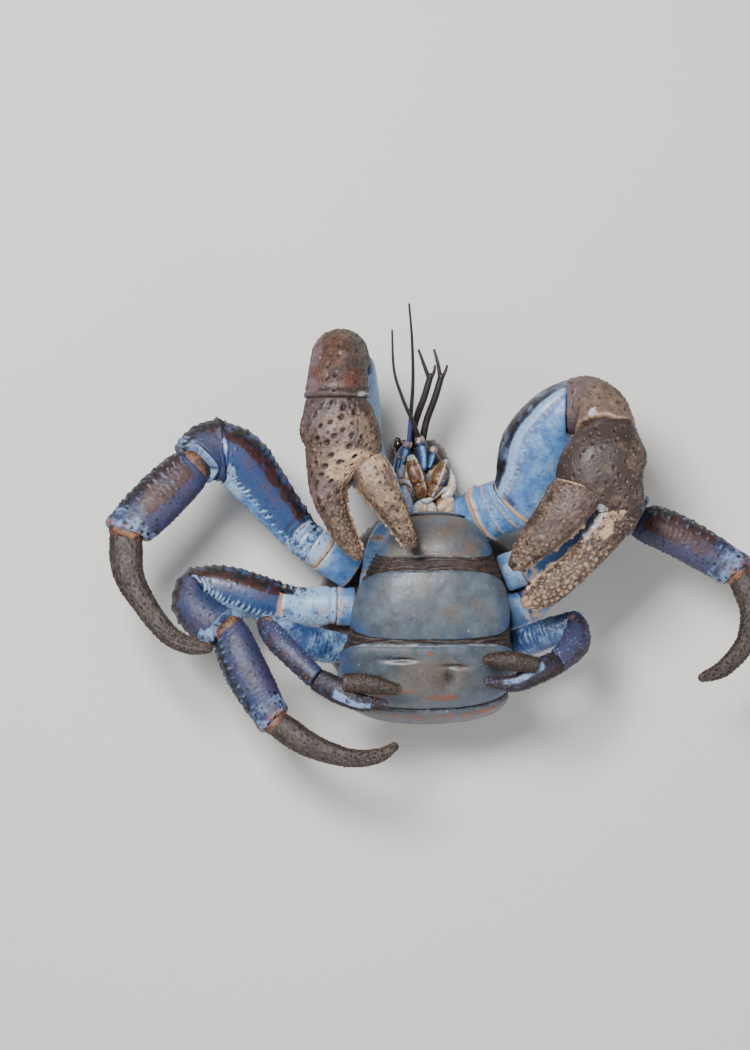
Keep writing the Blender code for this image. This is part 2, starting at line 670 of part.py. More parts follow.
def fourth_leg_right():
    made = chain("leg4_r", [
        ("merus", "blue", [(-48, -52, 56, 8, 6.5), (-60, -50.5, 64, 9.5, 6.5),
                           (-76, -46, 72, 9, 6.5), (-93, -37.5, 81, 6.5, 5.5)], {"stations": 6}),
        ("carpus", "violet", [(-93, -37.5, 81, 5.5, 5), (-84, -48, 90, 6.8, 6),
                              (-63.5, -67.5, 97, 6, 5.5)], {"stations": 5}),
        ("palm", "violet", [(-63.5, -67.5, 97, 6.5, 5.2), (-49.5, -74.5, 103, 7.5, 5)],
         {"stations": 4}),
    ])
    small_pincer("leg4_r", made["palm"],
                 [(-54, -74, 102, 5, 4.5), (-39, -80, 105, 4.5, 4), (-25.5, -81, 105, 2.2, 2)],
                 [(-49, -68.5, 108, 4.5, 4.2), (-33.5, -69.5, 110, 5, 4.5), (-18, -72.5, 110, 2, 2.2)])
    return made


def fourth_leg_left():
    made = chain("leg4_l", [
        ("merus", "blue", [(45, -52, 58, 8, 6.5), (67, -43.5, 69, 8.5, 6.5),
                           (84, -36.5, 77, 7, 5)], {"stations": 6}),
        ("carpus", "violet", [(84, -36.5, 77, 6.5, 5), (83, -47.5, 89, 8, 6),
                              (72, -58, 97, 6.5, 5.5)], {"stations": 5}),
        ("palm", "violet", [(72, -58, 97, 6.5, 5.2), (61, -62.5, 103, 7.2, 5)],
         {"stations": 4}),
    ])
    small_pincer("leg4_l", made["palm"],
                 [(66, -63.5, 102, 4.5, 4.5), (48, -69.5, 104, 4.5, 4), (32, -68, 106, 2.2, 2)],
                 [(60.5, -59, 109, 4, 4.2), (45, -56.5, 111, 5, 4.6), (31.5, -55.5, 112, 2, 2.4)])
    return made


def leg_scales(prefix, upper, lower_rows=True, knee_row=True):
    """Rows of scales on the upper edges of one walking leg, and a row of ridges under its thigh."""
    face = 1 if upper == 0 else -1
    thigh = [(upper + 4 * face, 0.36, 0.8, 6, 1.9)]
    if lower_rows:
        thigh.append((upper + 140 * face, 0.25, 0.7, 5, 1.5))
    scale_rows(prefix + "_merus", thigh)
    if knee_row:
        scale_rows(prefix + "_carpus", [(upper + 4 * face, 0.36, 0.68, 3, 1.9)])
    scale_rows(prefix + "_propodus", [(upper + 2 * face, 0.14, 0.78, 6, 1.9),
                                      (upper + 38 * face, 0.2, 0.7, 4, 1.6)])


def claw_warts():
    """Warts along the outer edges and over the fingers of both great claws."""
    scale_rows("cheliped_r_carpus", [(150, 0.45, 0.85, 4, 1.7), (60, 0.6, 0.88, 3, 1.6)],
               up=(0, 1, 0.3), power=2.0)
    scale_rows("cheliped_r_palm", [(0, 0.2, 0.85, 4, 1.8), (60, 0.2, 0.8, 3, 1.7)])
    scale_rows("cheliped_r_palm", [(0, 0.3, 0.92, 6, 1.5), (75, 0.35, 0.9, 6, 1.5)],
               table=FINGER_R)
    scale_rows("cheliped_r_dactylus", [(178, 0.15, 0.85, 6, 1.5), (95, 0.2, 0.9, 6, 1.4)])
    scale_rows("cheliped_l_palm", [(178, 0.2, 0.8, 3, 1.9), (110, 0.25, 0.75, 3, 1.8)])
    scale_rows("cheliped_l_palm", [(178, 0.2, 0.92, 7, 1.7), (60, 0.5, 0.9, 5, 2.0),
                                   (105, 0.42, 0.92, 6, 2.1)], table=FINGER_L)
    scale_rows("cheliped_l_dactylus", [(60, 0.15, 0.9, 6, 1.8), (140, 0.2, 0.8, 5, 2.0)])


def assemble():
    shell = carapace()
    breast = sternum()
    core = abdomen_core()
    clear_of(core, shell, breast)
    tergite("tergite_1", 1.0, 2.95, 78, 5.0, steps_along=4)
    plate_2 = tergite("tergite_2", 3.15, 5.8, 80, 3.4)
    tergite("tergite_3", 5.95, 8.0, 78, 3.2)
    tergite("tergite_4", 8.45, 10.9, 76, 3.6, crown=-0.1)
    tergite("tergite_5", 11.1, 11.95, 70, 3.0, steps_along=3)
    head = head_parts()
    frame = head["mouth_frame"]
    clear_of(frame, breast)
    for side, tag in ((-1, "r"), (1, "l")):
        clear_of(head["maxilliped_" + tag], frame, breast)
        clear_of(head["antenna_base_" + tag], frame, shell, head["maxilliped_r"],
                 head["maxilliped_l"])
        clear_of(head["eye_" + tag], shell, frame, head["antenna_base_" + tag])
        clear_of(antennule(side, tag), frame, shell)
    feeler("antenna_r", [(-11.2, 67.5, 57.8), (-9.9, 86, 66), (-9, 103, 75), (-9.7, 125, 86),
                         (-11.5, 145, 94)], 1.4, 0.6)
    feeler("antenna_l", [(-5.2, 70, 62.3), (-8.8, 78.5, 69.5), (-14.7, 91.5, 76),
                         (-19.9, 108, 82), (-21.1, 130.5, 88)], 1.4, 0.6)
    right = great_claw_right()
    left = great_claw_left()
    clear_of(right["ischium"], shell, breast, frame, head["maxilliped_r"])
    clear_of(left["ischium"], shell, breast, frame, head["maxilliped_l"])
    clear_of(right["merus"], right["carpus"])
    legs = (second_leg_right(), third_leg_right(), second_leg_left(), third_leg_left())
    clear_of(legs[3]["merus"], shell)
    for leg in legs:
        clear_of(leg["coxa"], shell, breast)
        clear_of(leg["carpus"], leg["merus"])
    for leg in (fourth_leg_right(), fourth_leg_left()):
        clear_of(leg["merus"], shell, breast, core)
        clear_of(leg["palm"], plate_2)
        clear_of(leg["carpus"], leg["merus"])
    leg_scales("leg2_r", 0, knee_row=False)
    leg_scales("leg3_r", 0, lower_rows=False)
    leg_scales("leg2_l", 180, lower_rows=False)
    scale_rows("leg3_l_propodus", [(2, 0.12, 0.78, 5, 1.8)])
    claw_warts()


def stand_on_origin():
    """Move every node so that the origin is under the middle of the whole."""
    nodes = [o for o in bpy.data.objects if o.type == "MESH"]
    corners = np.array([v.co for o in nodes for v in o.data.vertices])
    low = corners.min(axis=0)
    high = corners.max(axis=0)
    shift = Vector((-(low[0] + high[0]) / 2, -(low[1] + high[1]) / 2, -low[2]))
    for node in nodes:
        for vert in node.data.vertices:
            vert.co += shift


assemble()
stand_on_origin()
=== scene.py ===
"""Finish of a coconut crab that lies on its back, for a museum's life-size model.

Every hard plate is a closed skin of fine rings or a fine grid, raised and painted in place. Lengths
are in millimetres, X towards the crab's left, Y towards its head, Z away from the floor.
"""

import bpy
import itertools
import math
import numpy as np
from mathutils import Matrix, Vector


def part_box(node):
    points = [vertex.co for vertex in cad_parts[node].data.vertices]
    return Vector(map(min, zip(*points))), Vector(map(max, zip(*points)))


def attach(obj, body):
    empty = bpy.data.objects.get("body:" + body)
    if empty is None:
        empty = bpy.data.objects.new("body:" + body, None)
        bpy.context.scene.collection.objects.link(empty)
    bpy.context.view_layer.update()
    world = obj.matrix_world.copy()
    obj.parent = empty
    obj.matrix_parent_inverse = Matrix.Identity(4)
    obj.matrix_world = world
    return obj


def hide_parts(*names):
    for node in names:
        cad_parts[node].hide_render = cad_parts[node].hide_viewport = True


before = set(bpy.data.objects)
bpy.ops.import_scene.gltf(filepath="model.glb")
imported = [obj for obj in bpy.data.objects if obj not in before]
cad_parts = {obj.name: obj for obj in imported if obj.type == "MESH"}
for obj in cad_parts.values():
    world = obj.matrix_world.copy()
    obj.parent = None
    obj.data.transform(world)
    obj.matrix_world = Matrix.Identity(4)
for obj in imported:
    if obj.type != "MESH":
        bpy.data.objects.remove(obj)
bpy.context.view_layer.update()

MM = 0.001
# Lowest corner of the breast plates in the crab's own axes, which ties these axes to the frame's
BREAST_CORNER = np.array((-41.0, -58.0, 42.4))
SHIFT = np.array(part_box("sternum")[0]) / MM - BREAST_CORNER
# Length of a skin's mesh edges
FINE = 0.66
# Girth of a squarish section, as a share of its half width and half depth together
GIRTH = 2.99
# Air between neighbouring segments, and between the plates and the abdomen under them
GAP = 0.3
# Share of a segment over which its end planes turn into its own run, and over which it narrows
END_SHARE = 0.25
NECK_SHARE = 0.14
# Length over which what is raised fades out at a segment's ends
FADE = 1.5
# Places tried for each one that the spacing has room for
TRIES = 6.0
STERNUM_TOP = 60.0
# The head turns to the crab's right by HEAD_TURN over HEAD_LENGTH, from HEAD_START in Y
HEAD_START = 28
HEAD_LENGTH = 41
HEAD_TURN = 8
PAINTS = ("deep", "rust", "violet", "ink", "cream", "pale")


# Small mathematics


def ease(x):
    """Smooth step from 0 to 1."""
    x = np.clip(x, 0.0, 1.0)
    return x * x * (3 - 2 * x)


def window(x, low, high, soft):
    """1 between low and high, easing to 0 over soft outside them."""
    return ease((x - low) / soft + 1) * ease((high - x) / soft + 1)


def peak(x, at, width):
    """Rounded ridge of height 1 where x is at, fading over a width."""
    return np.exp(-(((x - at) / width) ** 2))


def fuller(wave, power):
    """Sine or cosine raised to a power, with its sign kept."""
    return np.sign(wave) * np.abs(wave) ** power


def lattice(q, seed):
    """Repeatable number from -1 to 1 for each whole-number point."""
    h = (q[..., 0] * 73856093) ^ (q[..., 1] * 19349663) ^ (q[..., 2] * 83492791) ^ (seed * 2654435)
    h = ((h ^ (h >> 13)) * 1274126177) & 0x7FFFFFFF
    h = ((h ^ (h >> 15)) * 668265263) & 0x7FFFFFFF
    return (h & 0xFFFF) / 32767.5 - 1


def cloud(points, size, seed=0):
    """Soft noise from -1 to 1 with lumps of a size in millimetres."""
    p = np.asarray(points) / size + seed * 7.31
    base = np.floor(p).astype(np.int64)
    f = ease(p - base)
    total = 0
    for corner in itertools.product((0, 1), repeat=3):
        c = np.array(corner)
        weight = np.prod(np.where(c == 1, f, 1 - f), axis=-1)
        total = total + weight * lattice(base + c, seed)
    return total


def layered(points, size, seed=0, layers=3):
    """Noise with finer noise on it."""
    total = 0
    for k in range(layers):
        total = total + cloud(points, size / 2.1**k, seed + k) / 1.8**k
    return total / 1.6


def smooth_through(rows, t):
    """Values at each t on an eased curve through rows of (position, value, ...)."""
    rows = np.array(rows, float)
    t = np.clip(np.atleast_1d(t), rows[0, 0], rows[-1, 0])
    k = np.clip(np.searchsorted(rows[:, 0], t) - 1, 0, len(rows) - 2)
    span = (rows[k + 1, 0] - rows[k, 0])[:, None]
    u = ((t - rows[k, 0])[:, None]) / span
    before = rows[np.maximum(k - 1, 0)]
    after = rows[np.minimum(k + 2, len(rows) - 1)]
    here, there = rows[k], rows[k + 1]
    m0 = (there - before)[:, 1:] / np.maximum((there - before)[:, :1], 1e-6) * span
    m1 = (after - here)[:, 1:] / np.maximum((after - here)[:, :1], 1e-6) * span
    a = 2 * u**3 - 3 * u**2 + 1
    b = u**3 - 2 * u**2 + u
    c = -2 * u**3 + 3 * u**2
    d = u**3 - u**2
    return a * here[:, 1:] + b * m0 + c * there[:, 1:] + d * m1


def unit(v):
    """Vectors of length one."""
    return v / np.maximum(np.linalg.norm(v, axis=-1, keepdims=True), 1e-9)


# Skins


def skin(name, points, faces, paints):
    """Mesh object from points in millimetres, its faces and its painted values per point."""
    mesh = bpy.data.meshes.new(name)
    points = (np.asarray(points, float).reshape(-1, 3) + SHIFT) * MM
    sizes = [len(f) for f in faces] if isinstance(faces, list) else None
    if sizes is None:
        faces = np.asarray(faces)
        sizes = np.full(len(faces), faces.shape[1])
        flat = faces.ravel()
    else:
        flat = np.array([i for f in faces for i in f])
    sizes = np.asarray(sizes)
    mesh.vertices.add(len(points))
    mesh.vertices.foreach_set("co", points.ravel())
    mesh.loops.add(len(flat))
    mesh.loops.foreach_set("vertex_index", flat.astype(np.int32))
    mesh.polygons.add(len(sizes))
    starts = np.concatenate(([0], np.cumsum(sizes)[:-1]))
    mesh.polygons.foreach_set("loop_start", starts.astype(np.int32))
    mesh.polygons.foreach_set("loop_total", sizes.astype(np.int32))
    mesh.update(calc_edges=True)
    mesh.validate()
    mesh.shade_smooth()
    for key, values in paints.items():
        layer = mesh.attributes.new(key, "FLOAT", "POINT")
        layer.data.foreach_set("value", np.clip(values, 0, 1).astype(np.float32).ravel())
    made = bpy.data.objects.new(name, mesh)
    bpy.context.scene.collection.objects.link(made)
    return made


def hand_over(piece, kind, slot, *nodes):
    """Give a piece its finish and its body, and hide the nodes that it stands for. Its slot is not
    used.
    """
    piece.data.materials.append(kind)
    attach(piece, "root")
    if nodes:
        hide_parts(*nodes)
    return piece


def wrap_faces(rings, around):
    """Quads between neighbouring rings of equal length that close on themselves."""
    k, i = np.meshgrid(np.arange(rings - 1), np.arange(around), indexing="ij")
    j = (i + 1) % around
    return np.stack((k * around + i, k * around + j, (k + 1) * around + j,
                     (k + 1) * around + i), axis=-1).reshape(-1, 4)


class Shell:
    """One tube of shell from root to tip, with what is raised and painted on it.

    rows are stations of X, Y, Z, half width and half depth. Angle 0 is on the tube's side, 90
    on its top, towards up, and every array is rings by points round. neck narrows its start,
    flare widens its end, tip rounds its end off, and span is the run over which its direction
    is taken.
    """

    def __init__(self, rows, start_way, end_way, up=(0, 0, 1), power=2.3, fine=1.0, neck=0.0,
                 flare=0.0, tip=False, span=0.1):
        table = [(k, *row) for k, row in enumerate(rows)]
        last = len(rows) - 1
        path = np.array([r[:3] for r in rows], float)
        length = np.linalg.norm(np.diff(path, axis=0), axis=1).sum()
        girth = GIRTH * (max(r[3] for r in rows) + max(r[4] for r in rows))
        step = FINE * fine
        rings = int(max(length / step, 8))
        around = int(max(girth / step, 16))
        t = np.linspace(0, last, rings)
        values = smooth_through(table, t)
        ahead = smooth_through(table, np.minimum(t + span, last))[:, :3]
        behind = smooth_through(table, np.maximum(t - span, 0))[:, :3]
        along = unit(ahead - behind)
        share = (t / last)[:, None]
        first = unit(np.array(start_way, float))
        final = unit(np.array(end_way, float))
        near = np.clip(share / END_SHARE, 0, 1)
        along = unit(first * (1 - near) + along * near)
        near = np.clip((1 - share) / END_SHARE, 0, 1)
        along = unit(final * (1 - near) + along * near)
        centre = values[:, :3].copy()
        centre[0] += along[0] * GAP / 2
        centre[-1] -= along[-1] * GAP / 2
        side = unit(np.cross(along, np.array(up, float)))
        top = unit(np.cross(side, along))
        a = np.arange(around) * 2 * np.pi / around
        self.t = share * np.ones(around)
        self.angle = np.degrees(a)[None, :] * np.ones((rings, 1))
        x = fuller(np.cos(a), 2 / power)
        y = fuller(np.sin(a), 2 / power)
        narrowed = 1 - neck * (1 - ease(share[:, 0] / NECK_SHARE))
        wide = values[:, 3] * (narrowed + flare * ease((share[:, 0] - 0.86) / 0.1))
        deep = values[:, 4] * narrowed
        self.point = (centre[:, None] + side[:, None] * (wide[:, None, None] * x[None, :, None])
                      + top[:, None] * (deep[:, None, None] * y[None, :, None]))
        self.centre = centre
        self.along = along
        run = np.concatenate(([0], np.linalg.norm(np.diff(centre, axis=0), axis=1).cumsum()))
        self.length = run[-1]
        self.s = run[:, None] * np.ones(around)
        self.radius = (wide + deep)[:, None] / 2 * np.ones(around)
        self.tip = tip
        self.rise = np.zeros((rings, around))
        self.paint = {key: np.zeros((rings, around)) for key in PAINTS}
        self.normal = self.outward()

    def outward(self):
        """Outward direction at every point, from its neighbours."""
        round_way = np.roll(self.point, -1, axis=1) - np.roll(self.point, 1, axis=1)
        along_way = np.gradient(self.point, axis=0)
        n = unit(np.cross(round_way, along_way))
        out = self.point - self.centre[:, None]
        flip = np.sign((n * out).sum(axis=(-1, -2), keepdims=True))
        return n * np.where(flip == 0, 1, flip)

    def turn(self, centre):
        """Degrees from an angle, either way round."""
        return np.abs((self.angle - centre + 180) % 360 - 180)

    def facing(self, centre, half, soft=12):
        """1 within half degrees of an angle, easing out over soft."""
        return ease((half - self.turn(centre)) / soft + 1)

    def between(self, low, high, soft=0.06):
        """1 between two shares of the length."""
        return window(self.t, low, high, soft)

    def all_over(self, value):
        """One value at every point."""
        return np.full_like(self.t, value)

    def noise(self, size, seed=0, layers=3):
        """Layered noise at the shell's points."""
        return layered(self.point, size, seed, layers)

    def torn(self, mask, size, seed):
        """A mask with a ragged border and gaps."""
        return np.clip(mask * (1.05 + 0.9 * self.noise(size, seed)) * 1.25 - 0.25, 0, 1)

    def put(self, key, mask):
        """Add to a painted value."""
        self.paint[key] = np.maximum(self.paint[key], np.clip(mask, 0, 1))

    def mark(self, key, block, mask):
        """Add to a painted value over one slice."""
        self.paint[key][block] = np.maximum(self.paint[key][block], mask)

    def lift(self, height):
        """Raise the skin, or lower it where the height is negative."""
        self.rise = self.rise + height

    def spots(self, spacing, mask, seed):
        """Places spread about evenly over the masked part, as indices of points."""
        dice = np.random.default_rng(seed)
        flat = np.clip(mask, 0, 1).ravel()
        chosen = np.flatnonzero(dice.random(flat.size) < flat)
        if chosen.size == 0:
            return []
        area = self.length * 2 * np.pi * self.radius.mean() * flat.mean()
        wanted = int(min(area / spacing**2 * TRIES, chosen.size))
        order = dice.choice(chosen, wanted, replace=False)
        places = self.point.reshape(-1, 3)
        cells = {}
        kept = []
        for index in order:
            p = places[index]
            cell = tuple(np.floor(p / spacing).astype(int))
            near_cells = (cells.get((cell[0] + i, cell[1] + j, cell[2] + k), ())
                          for i, j, k in itertools.product((-1, 0, 1), repeat=3))
            if all((q[0] - p[0]) ** 2 + (q[1] - p[1]) ** 2 + (q[2] - p[2]) ** 2 >= spacing**2
                   for near in near_cells for q in near):
                cells.setdefault(cell, []).append(p)
                kept.append(index)
        return kept

    def stamp(self, index, long_reach, cross_reach, lean=0.0):
        """Distances from one place, as (slice, along, across) in shares of the two reaches."""
        rings, around = self.rise.shape
        k, i = divmod(int(index), around)
        step_round = 2 * np.pi * self.radius[k, 0] / around
        step_along = self.length / rings
        reach = max(long_reach, cross_reach) * 2.2
        dk = int(reach / step_along) + 1
        di = int(reach / step_round) + 1
        ks = np.arange(max(k - dk, 0), min(k + dk + 1, rings))
        ii = np.arange(i - di, i + di + 1) % around
        block = np.ix_(ks, ii)
        away = self.point[block] - self.point[k, i]
        v = (away * self.along[k]).sum(-1)
        cross = np.cross(self.along[k], self.normal[k, i])
        u = (away * cross).sum(-1)
        if lean:
            v, u = v * math.cos(lean) + u * math.sin(lean), u * math.cos(lean) - v * math.sin(lean)
        return block, v / long_reach, u / cross_reach

    def warts(self, spacing, radius, height, mask, seed, paint=None, strength=1.0, tall=0.5):
        """Rounded tubercles, some small and some tall."""
        dice = np.random.default_rng(seed + 1)
        for index in self.spots(spacing, mask, seed):
            size = radius * (1 + tall * dice.uniform(-1, 1))
            block, v, u = self.stamp(index, size, size * dice.uniform(0.85, 1.3))
            d = v * v + u * u
            bump = np.clip(1 - d, 0, 1) ** 1.5 * height * (size / radius)
            self.rise[block] = np.maximum(self.rise[block], 0.0) + bump
            if paint:
                self.mark(paint, block, np.clip(1.2 - d, 0, 1) * strength)

    def pits(self, spacing, long_radius, cross_radius, depth, mask, seed, rim=0.4, lean=0.0):
        """Oval pits with a dark floor and a raised rusty rim."""
        dice = np.random.default_rng(seed + 1)
        for index in self.spots(spacing, mask, seed):
            size = dice.uniform(0.7, 1.25)
            block, v, u = self.stamp(index, long_radius * size, cross_radius * size,
                                     lean + dice.uniform(-0.3, 0.3))
            d = np.sqrt(v * v + u * u)
            hole = np.exp(-((d / 0.75) ** 4))
            self.rise[block] += peak(d, 1.15, 0.32) * rim - hole * depth
            self.mark("ink", block, 0.95 * hole)
            self.mark("rust", block, peak(d, 1.1, 0.45) * 0.5)

    def scales(self, angle, low, high, count, long_reach, cross_reach, height, seed=0, drift=0.0,
               paint="pale", strength=0.8, dark=0.8, lean=0.0):
        """Row of short raised scales along one edge, steep and dark on the side of the tip."""
        dice = np.random.default_rng(seed)
        rings, around = self.rise.shape
        for j in range(count):
            t = low + (high - low) * (j + dice.uniform(-0.15, 0.15)) / max(count - 1, 1)
            a = angle + drift * (t - low) + dice.uniform(-3, 3)
            k = int(np.clip(t * (rings - 1), 0, rings - 1))
            i = int(round(a / 360 * around)) % around
            size = dice.uniform(0.8, 1.2)
            block, v, u = self.stamp(k * around + i, long_reach * size, cross_reach * size, lean)
            width = np.exp(-(np.abs(u) ** 2.5))
            body = width * np.exp(-np.where(v < 0, v * v * 0.7, v * v * 5))
            self.rise[block] += body * height * size
            front = width * np.exp(-((v - 0.75) ** 2) * 9)
            self.mark("ink", block, front * dark)
            self.mark(paint, block, body * strength)

    def wrinkles(self, period, height, mask, seed=0):
        """Uneven ridges across the tube, and a mask of the troughs between them, where painted
        shade goes.
        """
        sway = self.noise(9, seed, 2) * period * 0.9
        wave = np.sin((self.s + sway) * 2 * np.pi / period)
        broken = ease(0.5 + self.noise(4.5, seed + 5, 2) * 1.2)
        self.lift(wave * height * mask * broken)
        return np.clip(-wave, 0, 1) * mask * broken

    def close(self, name, kind, slot, *nodes, rim=1.1):
        """Round both ends, close them and hand the piece over."""
        rings, around = self.rise.shape
        start = np.clip(self.s, 0, rim)
        inset = rim - np.sqrt(np.maximum(rim**2 - (rim - start) ** 2, 0))
        if not self.tip:
            end = np.clip(self.length - self.s, 0, rim)
            inset = inset + rim - np.sqrt(np.maximum(rim**2 - (rim - end) ** 2, 0))
        fade = ease(self.s / FADE)
        if not self.tip:
            fade = fade * ease((self.length - self.s) / FADE)
        point = self.point + self.normal * (self.rise * fade - inset)[..., None]
        before = [self.centre[0] + (point[0] - self.centre[0]) * f for f in (0.04, 0.35, 0.7, 0.92)]
        if self.tip:
            reach = self.radius[-1, 0]
            after = [self.centre[-1] + self.along[-1] * reach * math.sin(f)
                     + (point[-1] - self.centre[-1]) * math.cos(f)
                     for f in np.radians((18, 36, 54, 70, 84))]
        else:
            after = [self.centre[-1] + (point[-1] - self.centre[-1]) * f
                     for f in (0.92, 0.7, 0.35, 0.04)]
        whole = np.concatenate((np.stack(before), point, np.stack(after)))
        count = len(whole)
        faces = [tuple(f[::-1]) for f in wrap_faces(count, around).tolist()]
        faces.append(tuple(range(around)))
        faces.append(tuple(range((count - 1) * around, count * around))[::-1])
        paints = {}
        for key in PAINTS:
            p = self.paint[key]
            paints[key] = np.concatenate((np.repeat(p[:1], len(before), 0), p,
                                          np.repeat(p[-1:], len(after), 0)))
        piece = skin(name, whole, faces, paints)
        self.skin_point = point
        return hand_over(piece, kind, slot, *nodes)

    def close_over(self, node, kind, slot):
        """Close the piece that stands for one node, and name it after the node."""
        return self.close(node + "_shell", kind, slot, node)


# Finishes


def linear(code):
    """Linear colour of an sRGB hex value."""
    parts = [int(code[i:i + 2], 16) / 255 for i in (1, 3, 5)]
    return (*[c / 12.92 if c <= 0.04045 else ((c + 0.055) / 1.055) ** 2.4 for c in parts], 1.0)


def add(tree, kind, sockets=None, **settings):
    """One node with its settings, and its sockets linked or set."""
    made = tree.nodes.new(kind)
    for key, value in settings.items():
        setattr(made, key, value)
    for key, value in (sockets or {}).items():
        if isinstance(value, bpy.types.NodeSocket):
            tree.links.new(value, made.inputs[key])
        else:
            made.inputs[key].default_value = value
    return made


def per_mm(size):
    """Texture scale, in object metres, of a pattern whose lumps measure size millimetres."""
    return 1 / (size * MM)


def cuticle(name, light, dark, tints, mottle=7.0, grain=0.5, grain_height=0.25, pore=2.4,
            pore_size=0.07, rough=(0.35, 0.55), coat=0.0, streak=None):
    """Calcified chitin: mottled ground, painted patches with ragged edges, grain and pores.

    tints maps each painted value to a hex colour, in the order in which they lie over each other.
    """
    kind = bpy.data.materials.new(name)
    kind.use_nodes = True
    tree = kind.node_tree
    shader = tree.nodes["Principled BSDF"]
    place = add(tree, "ShaderNodeTexCoord").outputs["Object"]
    broad = add(tree, "ShaderNodeTexNoise", {"Vector": place, "Scale": per_mm(mottle),
                                             "Detail": 5.0, "Roughness": 0.6})
    ragged = add(tree, "ShaderNodeTexNoise", {"Vector": place, "Scale": per_mm(1.7), "Detail": 4.0,
                                              "Roughness": 0.65})
    spread = add(tree, "ShaderNodeMapRange", {"Value": broad.outputs["Fac"], "From Min": 0.3,
                                              "From Max": 0.7})
    ground = add(tree, "ShaderNodeMix", {"Factor": spread.outputs["Result"], "A": linear(light),
                                         "B": linear(dark)}, data_type="RGBA")
    colour = ground.outputs["Result"]
    shake = add(tree, "ShaderNodeMath", {0: ragged.outputs["Fac"], 1: -0.5}, operation="ADD")
    for key, code in tints.items():
        painted = add(tree, "ShaderNodeAttribute", attribute_name=key)
        edge = add(tree, "ShaderNodeMath", {0: shake.outputs[0], 1: 0.9, 2: painted.outputs["Fac"]},
                   operation="MULTIPLY_ADD")
        mask = add(tree, "ShaderNodeMapRange", {"Value": edge.outputs[0], "From Min": 0.2,
                                                "From Max": 0.85}, interpolation_type="SMOOTHSTEP")
        over = add(tree, "ShaderNodeMix", {"Factor": mask.outputs["Result"], "A": colour,
                                           "B": linear(code)}, data_type="RGBA")
        colour = over.outputs["Result"]
    cells = add(tree, "ShaderNodeTexVoronoi", {"Vector": place, "Scale": per_mm(pore)})
    dot = add(tree, "ShaderNodeMapRange", {"Value": cells.outputs["Distance"],
                                           "From Min": pore_size, "From Max": pore_size * 1.9,
                                           "To Min": 1.0, "To Max": 0.0})
    some = add(tree, "ShaderNodeMath", {0: broad.outputs["Fac"], 1: 0.45},
               operation="GREATER_THAN")
    dotted = add(tree, "ShaderNodeMath", {0: dot.outputs["Result"], 1: some.outputs[0]},
                 operation="MULTIPLY")
    soft = add(tree, "ShaderNodeMath", {0: dotted.outputs[0], 1: 0.8}, operation="MULTIPLY")
    pored = add(tree, "ShaderNodeMix", {"Factor": soft.outputs[0], "A": colour,
                                        "B": linear("#1b1517")}, data_type="RGBA")
    tree.links.new(pored.outputs["Result"], shader.inputs["Base Color"])
    gloss = add(tree, "ShaderNodeMapRange", {"Value": ragged.outputs["Fac"], "From Min": 0.3,
                                             "From Max": 0.7, "To Min": rough[0],
                                             "To Max": rough[1]})
    tree.links.new(gloss.outputs["Result"], shader.inputs["Roughness"])
    fine = add(tree, "ShaderNodeTexNoise", {"Vector": place, "Scale": per_mm(grain), "Detail": 3.0})
    height = add(tree, "ShaderNodeMath", {0: fine.outputs["Fac"], 1: grain_height},
                 operation="MULTIPLY")
    dented = add(tree, "ShaderNodeMath", {0: dotted.outputs[0], 1: -0.6, 2: height.outputs[0]},
                 operation="MULTIPLY_ADD")
    relief = dented.outputs[0]
    if streak:
        drawn = add(tree, "ShaderNodeMapping", {"Vector": place, "Scale": streak})
        lines = add(tree, "ShaderNodeTexNoise", {"Vector": drawn.outputs["Vector"],
                                                 "Scale": per_mm(1.6), "Detail": 4.0})
        deeper = add(tree, "ShaderNodeMath", {0: lines.outputs["Fac"], 1: 0.5, 2: relief},
                     operation="MULTIPLY_ADD")
        relief = deeper.outputs[0]
    bump = add(tree, "ShaderNodeBump", {"Height": relief, "Strength": 0.55, "Distance": 0.0004})
    tree.links.new(bump.outputs["Normal"], shader.inputs["Normal"])
    shader.inputs["IOR"].default_value = 1.55
    shader.inputs["Coat Weight"].default_value = coat
    shader.inputs["Coat Roughness"].default_value = 0.25
    return kind


# Smooth calcified chitin with a waxy surface: satin, blue, darker and violet towards the edges
blue_chitin = cuticle("blue_chitin", "#5f8cbe", "#305a92", {
    "deep": "#1c3a67", "violet": "#3d3757", "rust": "#33120f", "cream": "#b39377",
    "pale": "#89a8ca", "ink": "#0a080b"}, mottle=7.0, pore=3.1, pore_size=0.085,
    rough=(0.34, 0.54), coat=0.15)
# Wrinkled chitin of the lower legs: duller, violet grey going to dark red
violet_chitin = cuticle("violet_chitin", "#303b62", "#171a34", {
    "deep": "#132b56", "violet": "#352e4c", "rust": "#34110b", "cream": "#97603f",
    "pale": "#6d86ab", "ink": "#070506"}, mottle=6.0, pore=2.6, grain_height=0.6,
    rough=(0.46, 0.68), coat=0.05)
# Thick chitin of the claws: mauve brown, matte, with darker brown rims round its pits
claw_chitin = cuticle("claw_chitin", "#7c6554", "#4a372d", {
    "deep": "#2b1e18", "violet": "#5f4d55", "rust": "#4f2816", "cream": "#b49477",
    "pale": "#b7b6b8", "ink": "#120b09"}, mottle=4.0, pore=1.2, pore_size=0.13,
    grain=0.45, grain_height=0.9, rough=(0.42, 0.66), coat=0.1)
# Smooth thin plates of the abdomen: blue grey, bluer at their edges, with a broad satin sheen
plate_chitin = cuticle("plate_chitin", "#525c66", "#303841", {
    "deep": "#2b4468", "violet": "#222a3c", "rust": "#7a3a1e", "cream": "#574c43",
    "pale": "#8b9cab", "ink": "#0d1012"}, mottle=9.0, grain=0.7, grain_height=0.3, pore=2.6,
    pore_size=0.075, rough=(0.38, 0.54), coat=0.06)
